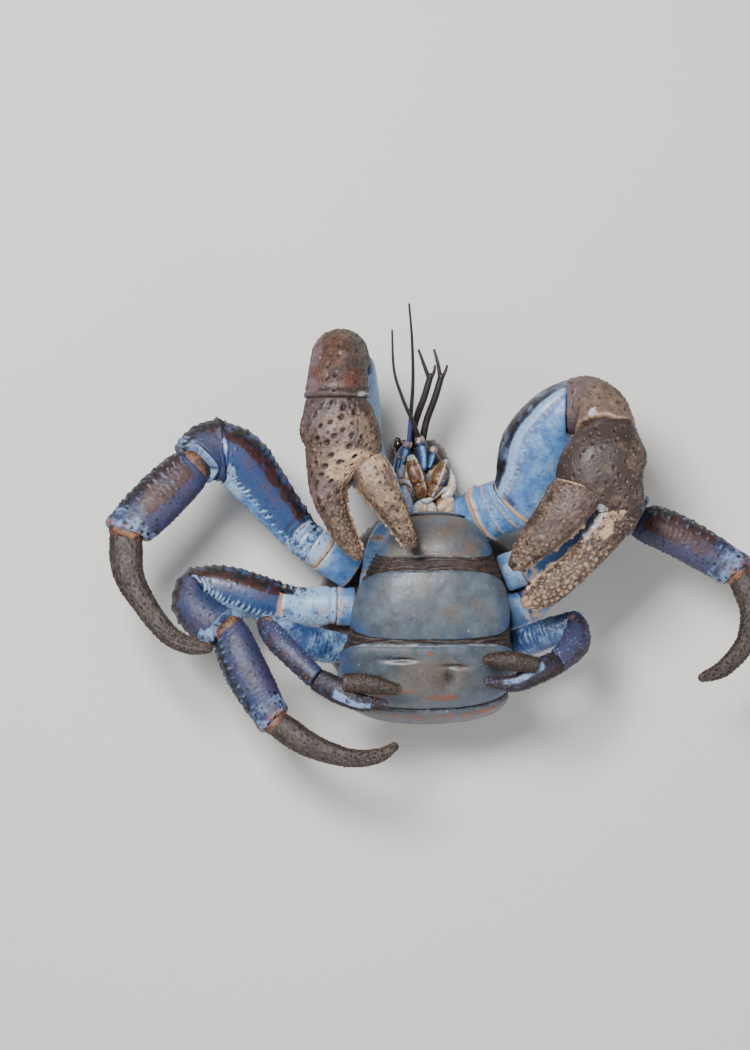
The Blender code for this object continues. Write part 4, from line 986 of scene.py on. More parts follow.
def great_claw_right():
    """Smaller claw, folded back over its own arm and hanging over the abdomen."""
    turn_back = (0, 0.75, 0.65)
    made = chain([
        ("ischium", [(-22, 35, 55, 9.5, 8), (-28.5, 43.5, 62, 11, 10),
                     (-36, 52, 69, 13.5, 12)], {}),
        ("merus", [(-36, 52, 69, 13.5, 12), (-46, 71, 76, 19.5, 14), (-49.5, 94, 82, 21, 15),
                   (-49, 111, 88, 18, 14)], {}),
    ], ways={"merus": turn_back})
    for name, shell in made.items():
        blue_arm(shell, 201)
        shell.put("violet", shell.between(0.3, 1.0, 0.2) * (0.25 + 0.4 * shell.noise(8, 203)))
        shell.put("pale", shell.facing(0, 70, 40) * (0.75 + 0.4 * shell.noise(6, 205)))
        shell.warts(2.4, 0.5, 0.25, shell.facing(0, 50, 30) * 0.8, 206, "ink", 0.7)
        shell.close_over("cheliped_r_" + name, blue_chitin, "blue")
    carpus = Shell([(-49, 111, 88, 16, 13.5), (-50, 115.5, 103, 15, 14), (-51, 110, 120, 15.5, 15),
                    (-52, 89.5, 131, 17.5, 15.5)], turn_back, (0, -1, 0.05), up=(0, 1, 0.3),
                   power=2.0, fine=0.8, flare=0.03)
    claw_base(carpus, 211)
    carpus.put("deep", carpus.between(0.3, 0.68, 0.12) * (0.6 + 0.5 * carpus.noise(4, 5)))
    carpus.put("rust", carpus.torn(carpus.facing(80, 60, 40) * carpus.between(0.5, 0.95, 0.14)
                                   * 0.55, 6, 212))
    carpus.put("deep", carpus.torn(carpus.between(0.4, 0.95, 0.1) * 0.75, 4, 218))
    carpus.put("deep", carpus.facing(150, 30, 30) * carpus.between(0.5, 0.95, 0.1) * 0.7)
    carpus.put("violet", carpus.facing(0, 40, 30) * carpus.between(0.4, 1.0, 0.1) * 0.9)
    carpus.pits(4.6, 1.7, 1.1, 1.25, carpus.between(0.3, 0.93, 0.04), 213, lean=0.8)
    carpus.warts(2.4, 0.7, 0.35, carpus.facing(150, 30, 20) * 0.9 + carpus.between(0.3, 0.6) * 0.5,
                 214, "cream", 0.35)
    lip = carpus.between(0.97, 1.0, 0.015)
    carpus.put("pale", carpus.torn(lip * carpus.facing(150, 16, 16) * 0.7, 3, 9))
    carpus.put("ink", lip * 0.5)
    carpus.lift(0.3 * lip)
    carpus.lift(-0.6 * peak(carpus.t, 0.945, 0.012))
    carpus.close_over("cheliped_r_carpus", claw_chitin, "claw")
    palm = Shell([(-52, 89.5, 131, 17.5, 15.5), (-50, 72, 131, 22, 18),
                  (-48.8, 61, 131, 20.5, 17.5), (-54, 52.5, 131, 14.8, 15.6),
                  (-56.5, 41, 131, 10.5, 12.2), (-54.5, 30, 130, 8, 10.5),
                  (-49.5, 18, 129, 6.5, 8.5), (-44, 8, 128, 5, 6.5),
                  (-40.5, 3, 127.5, 2.8, 3.6)], (0, -1, 0.05), (0.62, -0.78, 0), fine=0.85,
                 tip=True, neck=0.05, span=1.5)
    claw_base(palm, 221)
    wide = palm.between(0.05, 0.62, 0.08)
    palm.put("cream", palm.facing(120, 30, 22) * palm.between(0.28, 0.42, 0.1) * 0.75
             * (0.8 + 0.4 * palm.noise(5, 4)))
    palm.pits(5.4, 2.3, 1.5, 1.7, wide * palm.facing(80, 85, 15), 222, rim=0.4, lean=0.8)
    palm.pits(3.4, 1.2, 0.8, 0.9, palm.between(0.05, 0.85, 0.05), 223, rim=0.3, lean=0.8)
    palm.put("violet", palm.facing(40, 60, 30) * wide * (0.4 + 0.4 * palm.noise(6, 228)))
    palm.put("deep", palm.facing(10, 40, 40) * wide * (0.6 + 0.5 * palm.noise(5, 7)))
    palm.warts(1.9, 0.75, 0.35, palm.facing(0, 30, 20) * palm.between(0.05, 0.6, 0.1)
               + palm.facing(165, 18, 14) * palm.between(0.05, 0.35, 0.05), 224, "cream", 0.4)
    finger_skin(palm, 225, 0.6)
    biting_edge(palm, 182, 0.5, 0.97, 9, 1.9, 1.2, 226)
    palm.put("deep", palm.between(0.0, 0.05, 0.03) * 0.8)
    palm.close_over("cheliped_r_palm", claw_chitin, "claw")
    thumb = Shell([(-37, 60.5, 131, 8.5, 11), (-32, 47, 132, 11.5, 12), (-24.5, 33.5, 132, 9, 10.5),
                   (-18, 22, 131, 6.5, 8), (-13, 13, 130, 4.5, 5.5), (-11, 9, 130, 2.6, 3.2)],
                  (0.15, -1, 0), (0.45, -0.9, 0), fine=0.85, tip=True, neck=0.1)
    claw_base(thumb, 231)
    thumb.put("cream", thumb.facing(110, 40, 25) * thumb.between(0.05, 0.75, 0.15)
              * (0.45 + 0.4 * thumb.noise(5, 235)))
    thumb.pits(3.4, 1.4, 0.9, 1.1, thumb.between(0.06, 0.85, 0.05), 232, rim=0.3, lean=-0.6)
    thumb.put("pale", thumb.torn(thumb.facing(178, 16, 10) * thumb.between(0.0, 0.42, 0.08) * 0.7,
                                 3, 237))
    finger_skin(thumb, 233, 0.42)
    thumb.warts(1.9, 0.8, 0.5, thumb.facing(178, 30, 15) * thumb.between(0.05, 0.5), 234, "deep",
                0.7)
    biting_edge(thumb, 2, 0.25, 0.95, 9, 1.7, 1.1, 236)
    thumb.put("cream", thumb.between(0.0, 0.06, 0.03) * (0.5 + 0.5 * thumb.noise(2, 6)))
    thumb.close_over("cheliped_r_dactylus", claw_chitin, "claw")
    joint_bulge("cheliped_r_wrist_joint", (-52, 89.5, 131), (0, -1, 0), 16.5, 15, 5.0, tone="deep")
    joint_bulge("cheliped_r_elbow_joint", (-49, 111, 88), turn_back, 15.5, 13, 5.0)
    joint_bulge("cheliped_r_hinge_joint", (-37.5, 61, 131), (0.15, -1, 0), 8.6, 10.5, 4.0)
    claw_bristles("cheliped_r", 9, ("palm", palm, 1500, palm.between(0.5, 1.0, 0.1)),
                  ("thumb", thumb, 900, thumb.between(0.3, 1.0, 0.15)),
                  ("carpus", carpus, 350, carpus.between(0.3, 0.93)))


def great_claw_left():
    """Larger claw, held out to the side with its fingers turned in."""
    carpus_way = (1, 0, 0.2)
    palm_way = (0.15, -1, 0.4)
    made = chain([
        ("ischium", [(22, 20, 56, 15, 8.5), (34, 27, 64, 16, 11), (48.5, 32, 72, 15.5, 13)], {}),
        ("merus", [(48.5, 32, 72, 15.5, 13), (56, 46.5, 76, 18.5, 15), (61, 64, 82, 20, 16),
                   (70, 76.5, 87, 19, 16.5), (79.5, 86.5, 90, 16, 16)], {}),
    ], ways={"merus": carpus_way})
    ischium, merus = made["ischium"], made["merus"]
    blue_arm(ischium, 301)
    collar = peak(ischium.t, 0.46, 0.035)
    ischium.lift(1.3 * collar)
    ischium.put("cream", peak(ischium.t, 0.43, 0.07) * 1.1)
    ischium.put("rust", peak(ischium.t, 0.39, 0.02) * 0.6)
    ischium.warts(2.3, 0.7, 0.9, collar ** 2, 303, "cream", 0.8)
    for at in (0.66, 0.84):
        sway = 0.08 * np.cos(np.radians(ischium.angle - 40))
        line = peak(ischium.t - at, sway, 0.02)
        ischium.put("cream", line * 0.85)
        ischium.lift(0.35 * line)
    blue_arm(merus, 311)
    dark = merus.facing(165, 34, 14)
    merus.put("violet", dark * (0.75 + 0.4 * merus.noise(7, 312)))
    merus.put("ink", merus.facing(160, 20, 16) * (0.65 + 0.6 * merus.noise(6, 313))
              * merus.between(0.1, 0.9, 0.1))
    merus.put("deep", merus.facing(190, 26, 14) * 0.8)
    keel(merus, 118, 1.5, 9, 0.03, 0.98)
    merus.put("pale", merus.facing(122, 7, 6) * 0.75)
    merus.scales(108, 0.06, 0.96, 20, 1.4, 1.6, 0.5, 314, paint="cream", strength=0.7, dark=0.4)
    merus.put("rust", merus.between(0.0, 0.07, 0.04) * merus.facing(120, 30) * 0.6)
    merus.put("cream", merus.between(0.0, 0.03, 0.02) * 0.9)
    for name, shell in made.items():
        shell.close_over("cheliped_l_" + name, blue_chitin, "blue")
    carpus = Shell([(79.5, 86.5, 90, 16, 16), (89.5, 89, 94, 14.5, 17), (97, 83, 102, 14.5, 17.5),
                    (98, 72.5, 111, 16.8, 16.5)], carpus_way, palm_way, fine=0.75, flare=0.03)
    claw_base(carpus, 321)
    carpus.put("violet", carpus.between(0.0, 0.45, 0.2) * 0.55)
    # Pale patch on the wrist's up-facing lip: partly its own pale rim, partly a painted highlight.
    carpus.put("pale", carpus.torn(carpus.facing(70, 6, 10) * carpus.between(0.91, 0.98, 0.03)
                                   * 0.55, 3, 322))
    carpus.pits(5.5, 1.3, 0.8, 0.6, carpus.between(0.05, 0.9, 0.05), 323, rim=0.3, lean=0.5)
    carpus.warts(2.0, 0.8, 0.45, carpus.facing(165, 50, 20) * carpus.between(0.3, 0.95), 324,
                 "rust", 0.5)
    carpus.put("cream", carpus.torn(carpus.between(0.985, 1.0, 0.01) * 0.5, 3, 326))
    scoop(carpus, 60, 28, 3.0)
    carpus.close_over("cheliped_l_carpus", claw_chitin, "claw")
    palm = Shell([(98, 72.5, 111, 17, 16.5), (96, 58, 116, 24, 19), (95.8, 46, 117, 24.6, 18),
                  (103.5, 37.5, 115.5, 16, 16.2), (106.5, 30, 113, 11.8, 14.8),
                  (101.5, 20, 111, 10, 13.5), (87.5, 2, 107, 8.5, 11.5), (71, -12.5, 106, 9, 10.5),
                  (62, -20, 105, 7.5, 8.5), (55.5, -23.5, 105, 4.2, 4.6)], palm_way,
                 (-0.85, -0.5, 0), fine=0.85, tip=True, neck=0.05, span=1.3)
    claw_base(palm, 331)
    palm.put("deep", palm.between(0.0, 0.55, 0.1) * (0.8 + 0.5 * palm.noise(6, 8)))
    palm.pits(4.4, 1.6, 0.95, 1.0, palm.between(0.04, 0.6, 0.05) * palm.facing(100, 110, 15), 332,
              rim=0.35, lean=0.3)
    palm.put("pale", palm.torn(palm.facing(30, 20, 12) * palm.between(0.34, 0.62, 0.05) * 0.75,
                               4, 339))
    palm.warts(1.9, 0.75, 0.4, palm.facing(180, 40, 20) * palm.between(0.04, 0.97), 333, "cream",
               0.4)
    palm.put("cream", palm.torn(palm.facing(60, 30, 20) * palm.between(0.44, 0.6, 0.05) * 0.6,
                                6, 337))
    finger_skin(palm, 334, 0.55, spacing=1.7)
    palm.warts(2.9, 1.4, 0.8, palm.facing(85, 60, 12) * palm.between(0.64, 0.97, 0.05), 335,
               "cream", 0.6, tall=0.35)
    palm.warts(2.9, 1.4, 0.7, palm.facing(85, 60, 12) * palm.between(0.4, 0.64, 0.05), 338,
               "deep", 0.4, tall=0.35)
    biting_edge(palm, 2, 0.5, 0.95, 8, 2.6, 1.7, 336)
    palm.put("pale", palm.facing(20, 16, 10) * palm.between(0.27, 0.36, 0.03) * 0.9)
    palm.close_over("cheliped_l_palm", claw_chitin, "claw")
    thumb = Shell([(84.5, 42.5, 120, 15.5, 13.5), (78, 33.5, 121, 14, 14),
                   (68, 20.5, 120, 12, 12.5), (56, 7.5, 116, 8.5, 9.5), (50, 1, 115, 5.5, 6.5),
                   (47.5, -1.5, 114, 3.6, 4.2)], (-0.24, -0.97, 0), (-0.65, -0.7, -0.1), fine=0.85,
                  tip=True, neck=0.1)
    claw_base(thumb, 341)
    thumb.put("violet", thumb.between(0.05, 0.5, 0.1) * thumb.facing(130, 50, 20) * 0.4)
    thumb.pits(3.3, 1.2, 0.8, 0.8, thumb.between(0.06, 0.95, 0.05), 342, rim=0.3)
    thumb.put("deep", thumb.between(0.1, 1.0) * (0.5 + 0.5 * thumb.noise(4, 347)))
    thumb.warts(2.0, 1.0, 0.55, thumb.between(0.1, 1.0) * thumb.facing(70, 90, 15), 348, "cream",
                0.3, tall=0.4)
    thumb.warts(2.2, 0.95, 0.5, thumb.between(0.3, 1.0, 0.1) * thumb.facing(60, 80, 20), 343,
                "cream", 0.4)
    thumb.warts(4.5, 1.9, 0.9, thumb.facing(150, 35, 12) * thumb.between(0.25, 0.95), 344, "rust",
                0.3, tall=0.3)
    biting_edge(thumb, 180, 0.3, 0.95, 7, 2.3, 1.5, 345)
    thumb.put("cream", thumb.between(0.0, 0.035, 0.02) * 0.95)
    thumb.close_over("cheliped_l_dactylus", claw_chitin, "claw")
    joint_bulge("cheliped_l_wrist_joint", (98, 72.5, 111), palm_way, 15.8, 15.4, 5.0, tone="violet")
    joint_bulge("cheliped_l_elbow_joint", (79.5, 86.5, 90), carpus_way, 15.2, 15, 5.0)
    joint_bulge("cheliped_l_hinge_joint", (85, 44, 119.5), (-0.24, -0.97, 0), 15.5, 13.2, 4.0)
    joint_bulge("cheliped_l_base_joint", (48.5, 32, 72), (0.5, 0.8, 0.25), 15, 12.5, 4.0)
    side = palm.facing(180, 60, 30) * 0.6
    claw_bristles("cheliped_l", 19, ("palm", palm, 1900, side + palm.between(0.5, 1.0, 0.1)),
                  ("thumb", thumb, 900, thumb.between(0.1, 1.0, 0.15)),
                  ("carpus", carpus, 500, carpus.between(0.3, 0.93)))


def little_leg(prefix, tables, seed, upper):
    """Slender fourth leg: blue thigh, dull shank and a little pincer with a brush of bristles."""
    thigh_rows, shank_rows, hand_rows, finger_rows = tables
    made = chain([("merus", thigh_rows, {"fine": 0.8}),
                  ("carpus", shank_rows, {"fine": 0.7, "neck": 0.1}),
                  ("palm", hand_rows[:2], {"fine": 0.7})])
    thigh, shank, wrist = made.values()
    blue_arm(thigh, seed)
    thigh.put("deep", 0.95 + 0.5 * thigh.noise(6, seed))
    thigh.scales(upper, 0.1, 0.95, 14, 1.1, 1.6, 0.45, seed, strength=0.5)
    thigh.warts(2.6, 0.6, 0.25, thigh.all_over(0.7), seed + 13, "ink", 0.6)
    dark = thigh.wrinkles(2.6, 0.25, thigh.between(0.0, 0.5, 0.2), seed + 2)
    # Painted shade in the troughs of the wrinkles, in violet.
    thigh.put("violet", dark * 0.7)
    outer = shank.facing(upper, 75, 30)
    shank.put("deep", 0.45 + 0.4 * shank.noise(5, seed + 3))
    shank.put("rust", outer * (0.45 + 0.5 * shank.noise(4, seed + 4)))
    shank.put("ink", outer * (0.35 + 0.6 * ease(shank.noise(2.2, seed + 5))))
    shank.warts(1.9, 0.6, 0.35, shank.all_over(0.8), seed + 6, "pale", 0.55)
    for turn in (-16, 14):
        shank.scales(upper + turn, 0.05, 0.95, 12, 1.2, 1.5, 0.6, seed + 16 + turn,
                     strength=0.55, dark=0.9)
    shank.put("violet", 0.5 + 0.5 * shank.noise(6, seed + 14))
    hand = Shell(hand_rows, wrist.along[0], heading(hand_rows, -1), fine=0.7, tip=True)
    crescent = hand.torn(hand.facing(70, 15, 12) * hand.between(0.32, 0.78, 0.08), 3, seed + 7)
    brown = 1 - ease(2 * crescent)
    hand.put("rust", brown * (0.5 + 0.4 * hand.noise(3, seed + 9)))
    hand.put("ink", brown * (0.55 + 0.4 * hand.noise(2, seed + 10)))
    hand.put("pale", crescent * 0.85)
    hand.warts(1.5, 0.55, 0.35, brown, seed + 12, "cream", 0.4)
    finger_skin(hand, seed + 8, 0.75, spacing=1.2)
    finger = Shell(finger_rows, heading(finger_rows, 1), heading(finger_rows, -1), fine=0.7,
                   tip=True)
    finger_skin(finger, seed + 11, 0.0, spacing=1.15)
    thigh.close_over(prefix + "_merus", blue_chitin, "blue")
    shank.close_over(prefix + "_carpus", violet_chitin, "violet")
    hand.close_over(prefix + "_palm", violet_chitin, "violet")
    finger.close_over(prefix + "_dactylus", dactyl_chitin, "dactyl")
    joint_bulge(prefix + "_knee_joint", thigh.centre[-1], thigh.along[-1], thigh.radius[-1, 0],
                thigh.radius[-1, 0], 3.0)
    bristles(prefix + "_brush", finger, 2400, finger.all_over(0.3), 1.4, 0.15, dark_bristle, seed,
             lean=0.5)
    bristles(prefix + "_palm_brush", hand, 2600, brown + hand.between(0.75, 1.0), 1.3, 0.16,
             dark_bristle, seed + 1, lean=0.5, slot="violet")
    bristles(prefix + "_shank_bristles", shank, 450, 0.2 + outer, 1.4, 0.1, dark_bristle,
             seed + 2, lean=0.9, slot="violet")


great_claw_right()
great_claw_left()
little_leg("leg4_r", (
    [(-48, -52, 56, 8, 6.5), (-60, -50.5, 64, 9.5, 6.5), (-76, -46, 72, 9, 6.5),
     (-93, -37.5, 81, 6.5, 5.5)],
    [(-93, -37.5, 81, 5.5, 5), (-84, -48, 90, 6.8, 6), (-63.5, -67.5, 97, 6, 5.5)],
    [(-63.5, -67.5, 97, 6.5, 5.2), (-50, -74.5, 103, 6.8, 5), (-39, -80, 105, 4.5, 4),
     (-25.5, -81, 105, 2.2, 2)],
    [(-49, -68.5, 108, 4.5, 4.2), (-33.5, -69.5, 110, 5, 4.5), (-18, -72.5, 110, 2.4, 2.4)]),
    401, 0)
little_leg("leg4_l", (
    [(45, -52, 58, 8, 6.5), (67, -43.5, 69, 8.5, 6.5), (84, -36.5, 77, 7, 5)],
    [(84, -36.5, 77, 6.5, 5), (83, -47.5, 89, 8, 6), (72, -58, 97, 6.5, 5.5)],
    [(72, -58, 97, 6.5, 5.2), (61.5, -62.5, 103, 6.6, 5), (48, -69.5, 104, 4.5, 4),
     (32, -68, 106, 2.2, 2)],
    [(60.5, -59, 109, 4, 4.2), (45, -56.5, 111, 5, 4.6), (31.5, -55.5, 112, 2.4, 2.6)]),
    451, 180)


# Trunk

# Abdomen: rows of outer Y and Z, inner Y and Z, half width and midline X
ABDOMEN = [
    (0, -86, 22, -62, 46, 36, 0), (1, -93, 42, -62, 56, 42, 0), (2, -92, 62, -60, 62, 46, -1),
    (3, -85, 79, -58, 65, 48, -2), (4, -73, 92, -54, 66, 49, -2), (5, -59, 100, -48, 66, 48, -1),
    (6, -44, 104, -40, 65, 45, 0), (7, -25, 106, -24, 64, 43, 1), (8, -6, 105, -8, 64, 37, 2),
    (9, 9, 102, 3, 64, 31, 3), (10, 19, 96, 11, 64, 25, 3), (11, 25, 88, 16, 65, 19, 3),
    (12, 26, 79, 19, 68, 12, 3),
]
PLATE_THICKNESS = 3.2
# Points along and round the soft abdomen, whose folds need no finer
ABDOMEN_RINGS = int(170 / FINE)
ABDOMEN_AROUND = int(200 / FINE)
FOLDS_PER_STATION = 4.6
# Power that squares the abdomen's section a little
ABDOMEN_FULLNESS = 0.85
# A plate's width, the abdomen's length from station to station, and a plate's coarser mesh
PLATE_WIDTH = 150
STATION_LENGTH = 17
PLATE_COARSER = 1.1


def abdomen_points(v, angle, rise):
    """Points on the abdomen at stations v and angles round it, rise outside its skin."""
    shape = np.broadcast(v, angle, rise).shape
    rows = smooth_through(ABDOMEN, np.broadcast_to(v, shape).ravel()).reshape(*shape, 6)
    outer = np.stack((rows[..., 5], rows[..., 0], rows[..., 1]), axis=-1)
    inner = np.stack((rows[..., 5], rows[..., 2], rows[..., 3]), axis=-1)
    top = (outer - inner) / 2
    depth = np.linalg.norm(top, axis=-1)
    x = fuller(np.sin(angle), ABDOMEN_FULLNESS) * (rows[..., 4] + rise)
    z = fuller(np.cos(angle), ABDOMEN_FULLNESS) * (depth + rise)
    away = np.stack((x, np.zeros_like(x), np.zeros_like(x)), axis=-1)
    return (outer + inner) / 2 + away + top / depth[..., None] * z[..., None]


def soft_abdomen():
    """Leathery body under the plates, with fine fibrous folds across it and painted shade in their
    troughs.
    """
    v, angle = np.meshgrid(np.linspace(0, ABDOMEN[-1][0], ABDOMEN_RINGS),
                           np.linspace(0, 2 * np.pi, ABDOMEN_AROUND, endpoint=False),
                           indexing="ij")
    rise = np.full_like(v, 0.5)
    base = abdomen_points(v, angle, rise)
    sway = layered(base, 16, 501) * 0.22
    fold = np.sin((v + sway) * 2 * np.pi * FOLDS_PER_STATION)
    fine = layered(base * np.array((0.22, 1, 1)), 1.5, 502)
    point = abdomen_points(v, angle, rise + 0.45 * fold + 0.5 * fine)
    paints = {key: np.zeros_like(v) for key in PAINTS}
    thread = layered(base * np.array((0.12, 1, 1)), 0.9, 505, 2)
    # Painted shade in the troughs of the folds, and the skin's own dark fibres.
    paints["ink"] = np.clip(-fold, 0, 1) * 0.65 + 0.8 * np.clip(fine, 0, 1)
    paints["cream"] = 0.5 * ease((thread - 0.25) / 0.3)
    paints["rust"] = 0.4 * ease(layered(base, 12, 503))
    paints["deep"] = 0.4 * ease(layered(base * np.array((0.3, 1, 1)), 3, 504))
    rings, around = v.shape
    faces = [tuple(f) for f in wrap_faces(rings, around).tolist()]
    faces.append(tuple(range(around))[::-1])
    faces.append(tuple(range((rings - 1) * around, rings * around)))
    piece = skin("abdomen_skin", point, faces, paints)
    hand_over(piece, joint_skin, "membrane", "abdomen_soft")


def around_spot(point, x, y, wide, tall):
    """Soft round patch about a place seen from above."""
    return np.exp(-(((point[..., 0] - x) / wide) ** 2) - (((point[..., 1] - y) / tall) ** 2))


def plate(name, node, first, last, spread, corner, crown=0.0, seed=600, dress=None):
    """Hard plate bent over the abdomen: domed, with a rounded outline and a thin pale rim."""
    across = np.linspace(-1, 1, int(PLATE_WIDTH / FINE / PLATE_COARSER))
    length = (last - first) * STATION_LENGTH
    w = np.linspace(-1, 1, max(int(length / FINE / PLATE_COARSER), 16))
    across, w = np.meshgrid(across, w, indexing="ij")
    angle = across * math.radians(spread)
    trim = np.maximum((1 - np.abs(across) ** corner) ** (1 / corner), 0.35)
    middle = (first + last) / 2 + crown * across * across
    v = middle + (last - first) / 2 * trim * w
    edge = np.maximum(np.abs(w), np.abs(across))
    lip = window(edge, 0.93, 1.0, 0.035)
    rise = PLATE_THICKNESS - 1.5 * edge**7 + 0.3 * lip - 1.3 * ease((edge - 0.975) / 0.025)
    base = abdomen_points(v, angle, rise)
    rise = rise + 0.35 * layered(base, 18, seed, 2) + 0.09 * layered(base, 2.5, seed + 1, 2)
    paints = {key: np.zeros_like(v) for key in PAINTS}
    paints["deep"] = (0.75 * ease((np.abs(across) - 0.35) / 0.5)
                      * (0.7 + 0.5 * layered(base, 9, seed))
                      + 0.35 * ease((-w - 0.2) / 0.8) + 0.25 * layered(base, 14, seed + 2))
    paints["cream"] = (0.6 * ease(layered(base, 13, seed + 3) + 0.35)
                       * ease(1.4 - 1.4 * np.abs(across)))
    scratch = layered(base * np.array((0.35, 1.6, 1)), 1.3, seed + 6, 2)
    paints["pale"] = (window(edge, 0.965, 1.0, 0.02) * (0.4 + 0.4 * layered(base, 5, seed + 8))
                      + 0.55 * ease((layered(base, 1.1, seed + 4, 2) - 0.5) / 0.15)
                      + 0.4 * ease((scratch - 0.55) / 0.1))
    paints["ink"] = 0.6 * ease((-layered(base, 1.0, seed + 7, 2) - 0.55) / 0.12)
    rise = rise - 0.12 * paints["ink"]
    paints["violet"] = 0.5 * ease((np.abs(across) - 0.7) / 0.3) * (0.5 + layered(base, 6, seed + 5))
    if dress:
        rise = dress(base, rise, paints, w, across)
    top = abdomen_points(v, angle, rise)
    low = abdomen_points(v, angle, np.full_like(v, GAP))
    n, m = v.shape
    grid = np.arange(n * m).reshape(n, m)
    quad = np.stack((grid[:-1, :-1], grid[1:, :-1], grid[1:, 1:], grid[:-1, 1:]), -1).reshape(-1, 4)
    border = np.concatenate((grid[:, 0], grid[-1, 1:], grid[-2::-1, -1], grid[0, -2:0:-1]))
    after = np.roll(border, -1)
    side = np.stack((border, border + n * m, after + n * m, after), -1)
    faces = np.concatenate((quad, quad[:, ::-1] + n * m, side))
    both = {key: np.concatenate((p.ravel(), p.ravel())) for key, p in paints.items()}
    piece = skin(name, np.concatenate((top.reshape(-1, 3), low.reshape(-1, 3))), faces, both)
    return hand_over(piece, plate_chitin, "plate", node)


def creased(point, rise, paints, w, across):
    """Folds, dents and rusty patches of the broad lower plate, with painted shade in its sunken
    folds.
    """
    for x, y, wide, tall, depth in ((-16, -56.5, 10, 1.5, -1.3), (-15, -59.5, 9, 2, 0.9),
                                    (15, -60.5, 10, 1.4, -1.4), (11, -67, 3, 6, -1.8),
                                    (19, -65, 7, 4, 1.1), (-24, -65, 8, 5, 0.9),
                                    (0, -66, 4, 9, 0.9)):
        spot = around_spot(point, x, y, wide, tall)
        rise = rise + (1.5 if depth < 0 else 0.6) * depth * spot
        # Painted shade: the sunken folds are darkened.
        if depth < 0:
            paints["ink"] = np.maximum(paints["ink"], 0.75 * spot)
    ragged = 0.6 + 0.9 * layered(point, 3.0, 641)
    for x, y, wide, tall, strength in ((-1.5, -52.6, 4, 2, 1.3), (-12, -74, 8, 3, 1.2),
                                       (7, -78, 11, 2.5, 1.2), (0, -64, 3.5, 7, 0.9),
                                       (18, -61.5, 9, 1.5, 0.9), (-26, -77, 8, 2, 0.9),
                                       (9, -70, 4, 5, 0.7)):
        spot = around_spot(point, x, y, wide, tall) * strength * ragged
        paints["rust"] = np.maximum(paints["rust"], spot)
    paints["cream"] = np.maximum(paints["cream"], 0.85 * around_spot(point, 2, -66, 28, 14))
    paints["deep"] = np.maximum(paints["deep"], 0.8 * around_spot(point, 12, -66, 5, 7))
    paints["ink"] = np.maximum(paints["ink"], 0.42 * around_spot(point, 0, -68, 30, 12))
    return rise


def browned(point, rise, paints, w, across):
    """Olive brown middle of the plate nearest the head."""
    brown = ease(1.35 - 1.3 * np.abs(across)) * (0.7 + 0.6 * layered(point, 8, 645))
    paints["cream"] = np.maximum(paints["cream"], brown)
    paints["deep"] = paints["deep"] * (1 - 0.8 * ease(brown))
    return rise


def last_rim(point, rise, paints, w, across):
    """Orange worn upper edge over a red brown body."""
    under = ease((0.1 - w) / 0.3)
    worn = window(w, 0.6, 0.86, 0.12)
    paints["rust"] = np.maximum(worn * (0.5 + 0.9 * layered(point, 3, 651)),
                                under * (0.5 + 0.5 * layered(point, 5, 652)))
    paints["ink"] = np.maximum(paints["ink"], 0.5 * under)
    return rise - 0.5 * peak(w, 0.1, 0.06)


soft_abdomen()
plate("tergite_1_plate", "tergite_1", 1.0, 2.95, 78, 5.0, seed=610, dress=last_rim)
plate("tergite_2_plate", "tergite_2", 3.15, 5.8, 80, 3.4, seed=620, dress=creased)
plate("tergite_3_plate", "tergite_3", 5.95, 8.0, 78, 3.2, seed=630)
plate("tergite_4_plate", "tergite_4", 8.45, 10.9, 76, 3.6, crown=-0.1, seed=640,
      dress=browned)
plate("tergite_5_plate", "tergite_5", 11.1, 11.95, 70, 3.0, seed=650)


# Head, breast and back


def head_sway(y):
    """How far the head turns to the crab's right at Y."""
    return -HEAD_TURN * (y - HEAD_START) / HEAD_LENGTH


def head_middle(y):
    """Midline of the mouth at Y."""
    return -1 + head_sway(y)


def tube(name, rows, kind, slot, *nodes, dress=None, fine=0.7, tip=True, **shape):
    """Straight or bent piece through its stations, dressed and handed over."""
    places = [np.array(r[:3], float) for r in rows]
    shell = Shell(rows, places[1] - places[0], places[-1] - places[-2], fine=fine, tip=tip, **shape)
    if dress:
        dress(shell)
    shell.close(name, kind, slot, *nodes, rim=min(1.0, rows[0][3] * 0.6))
    return shell


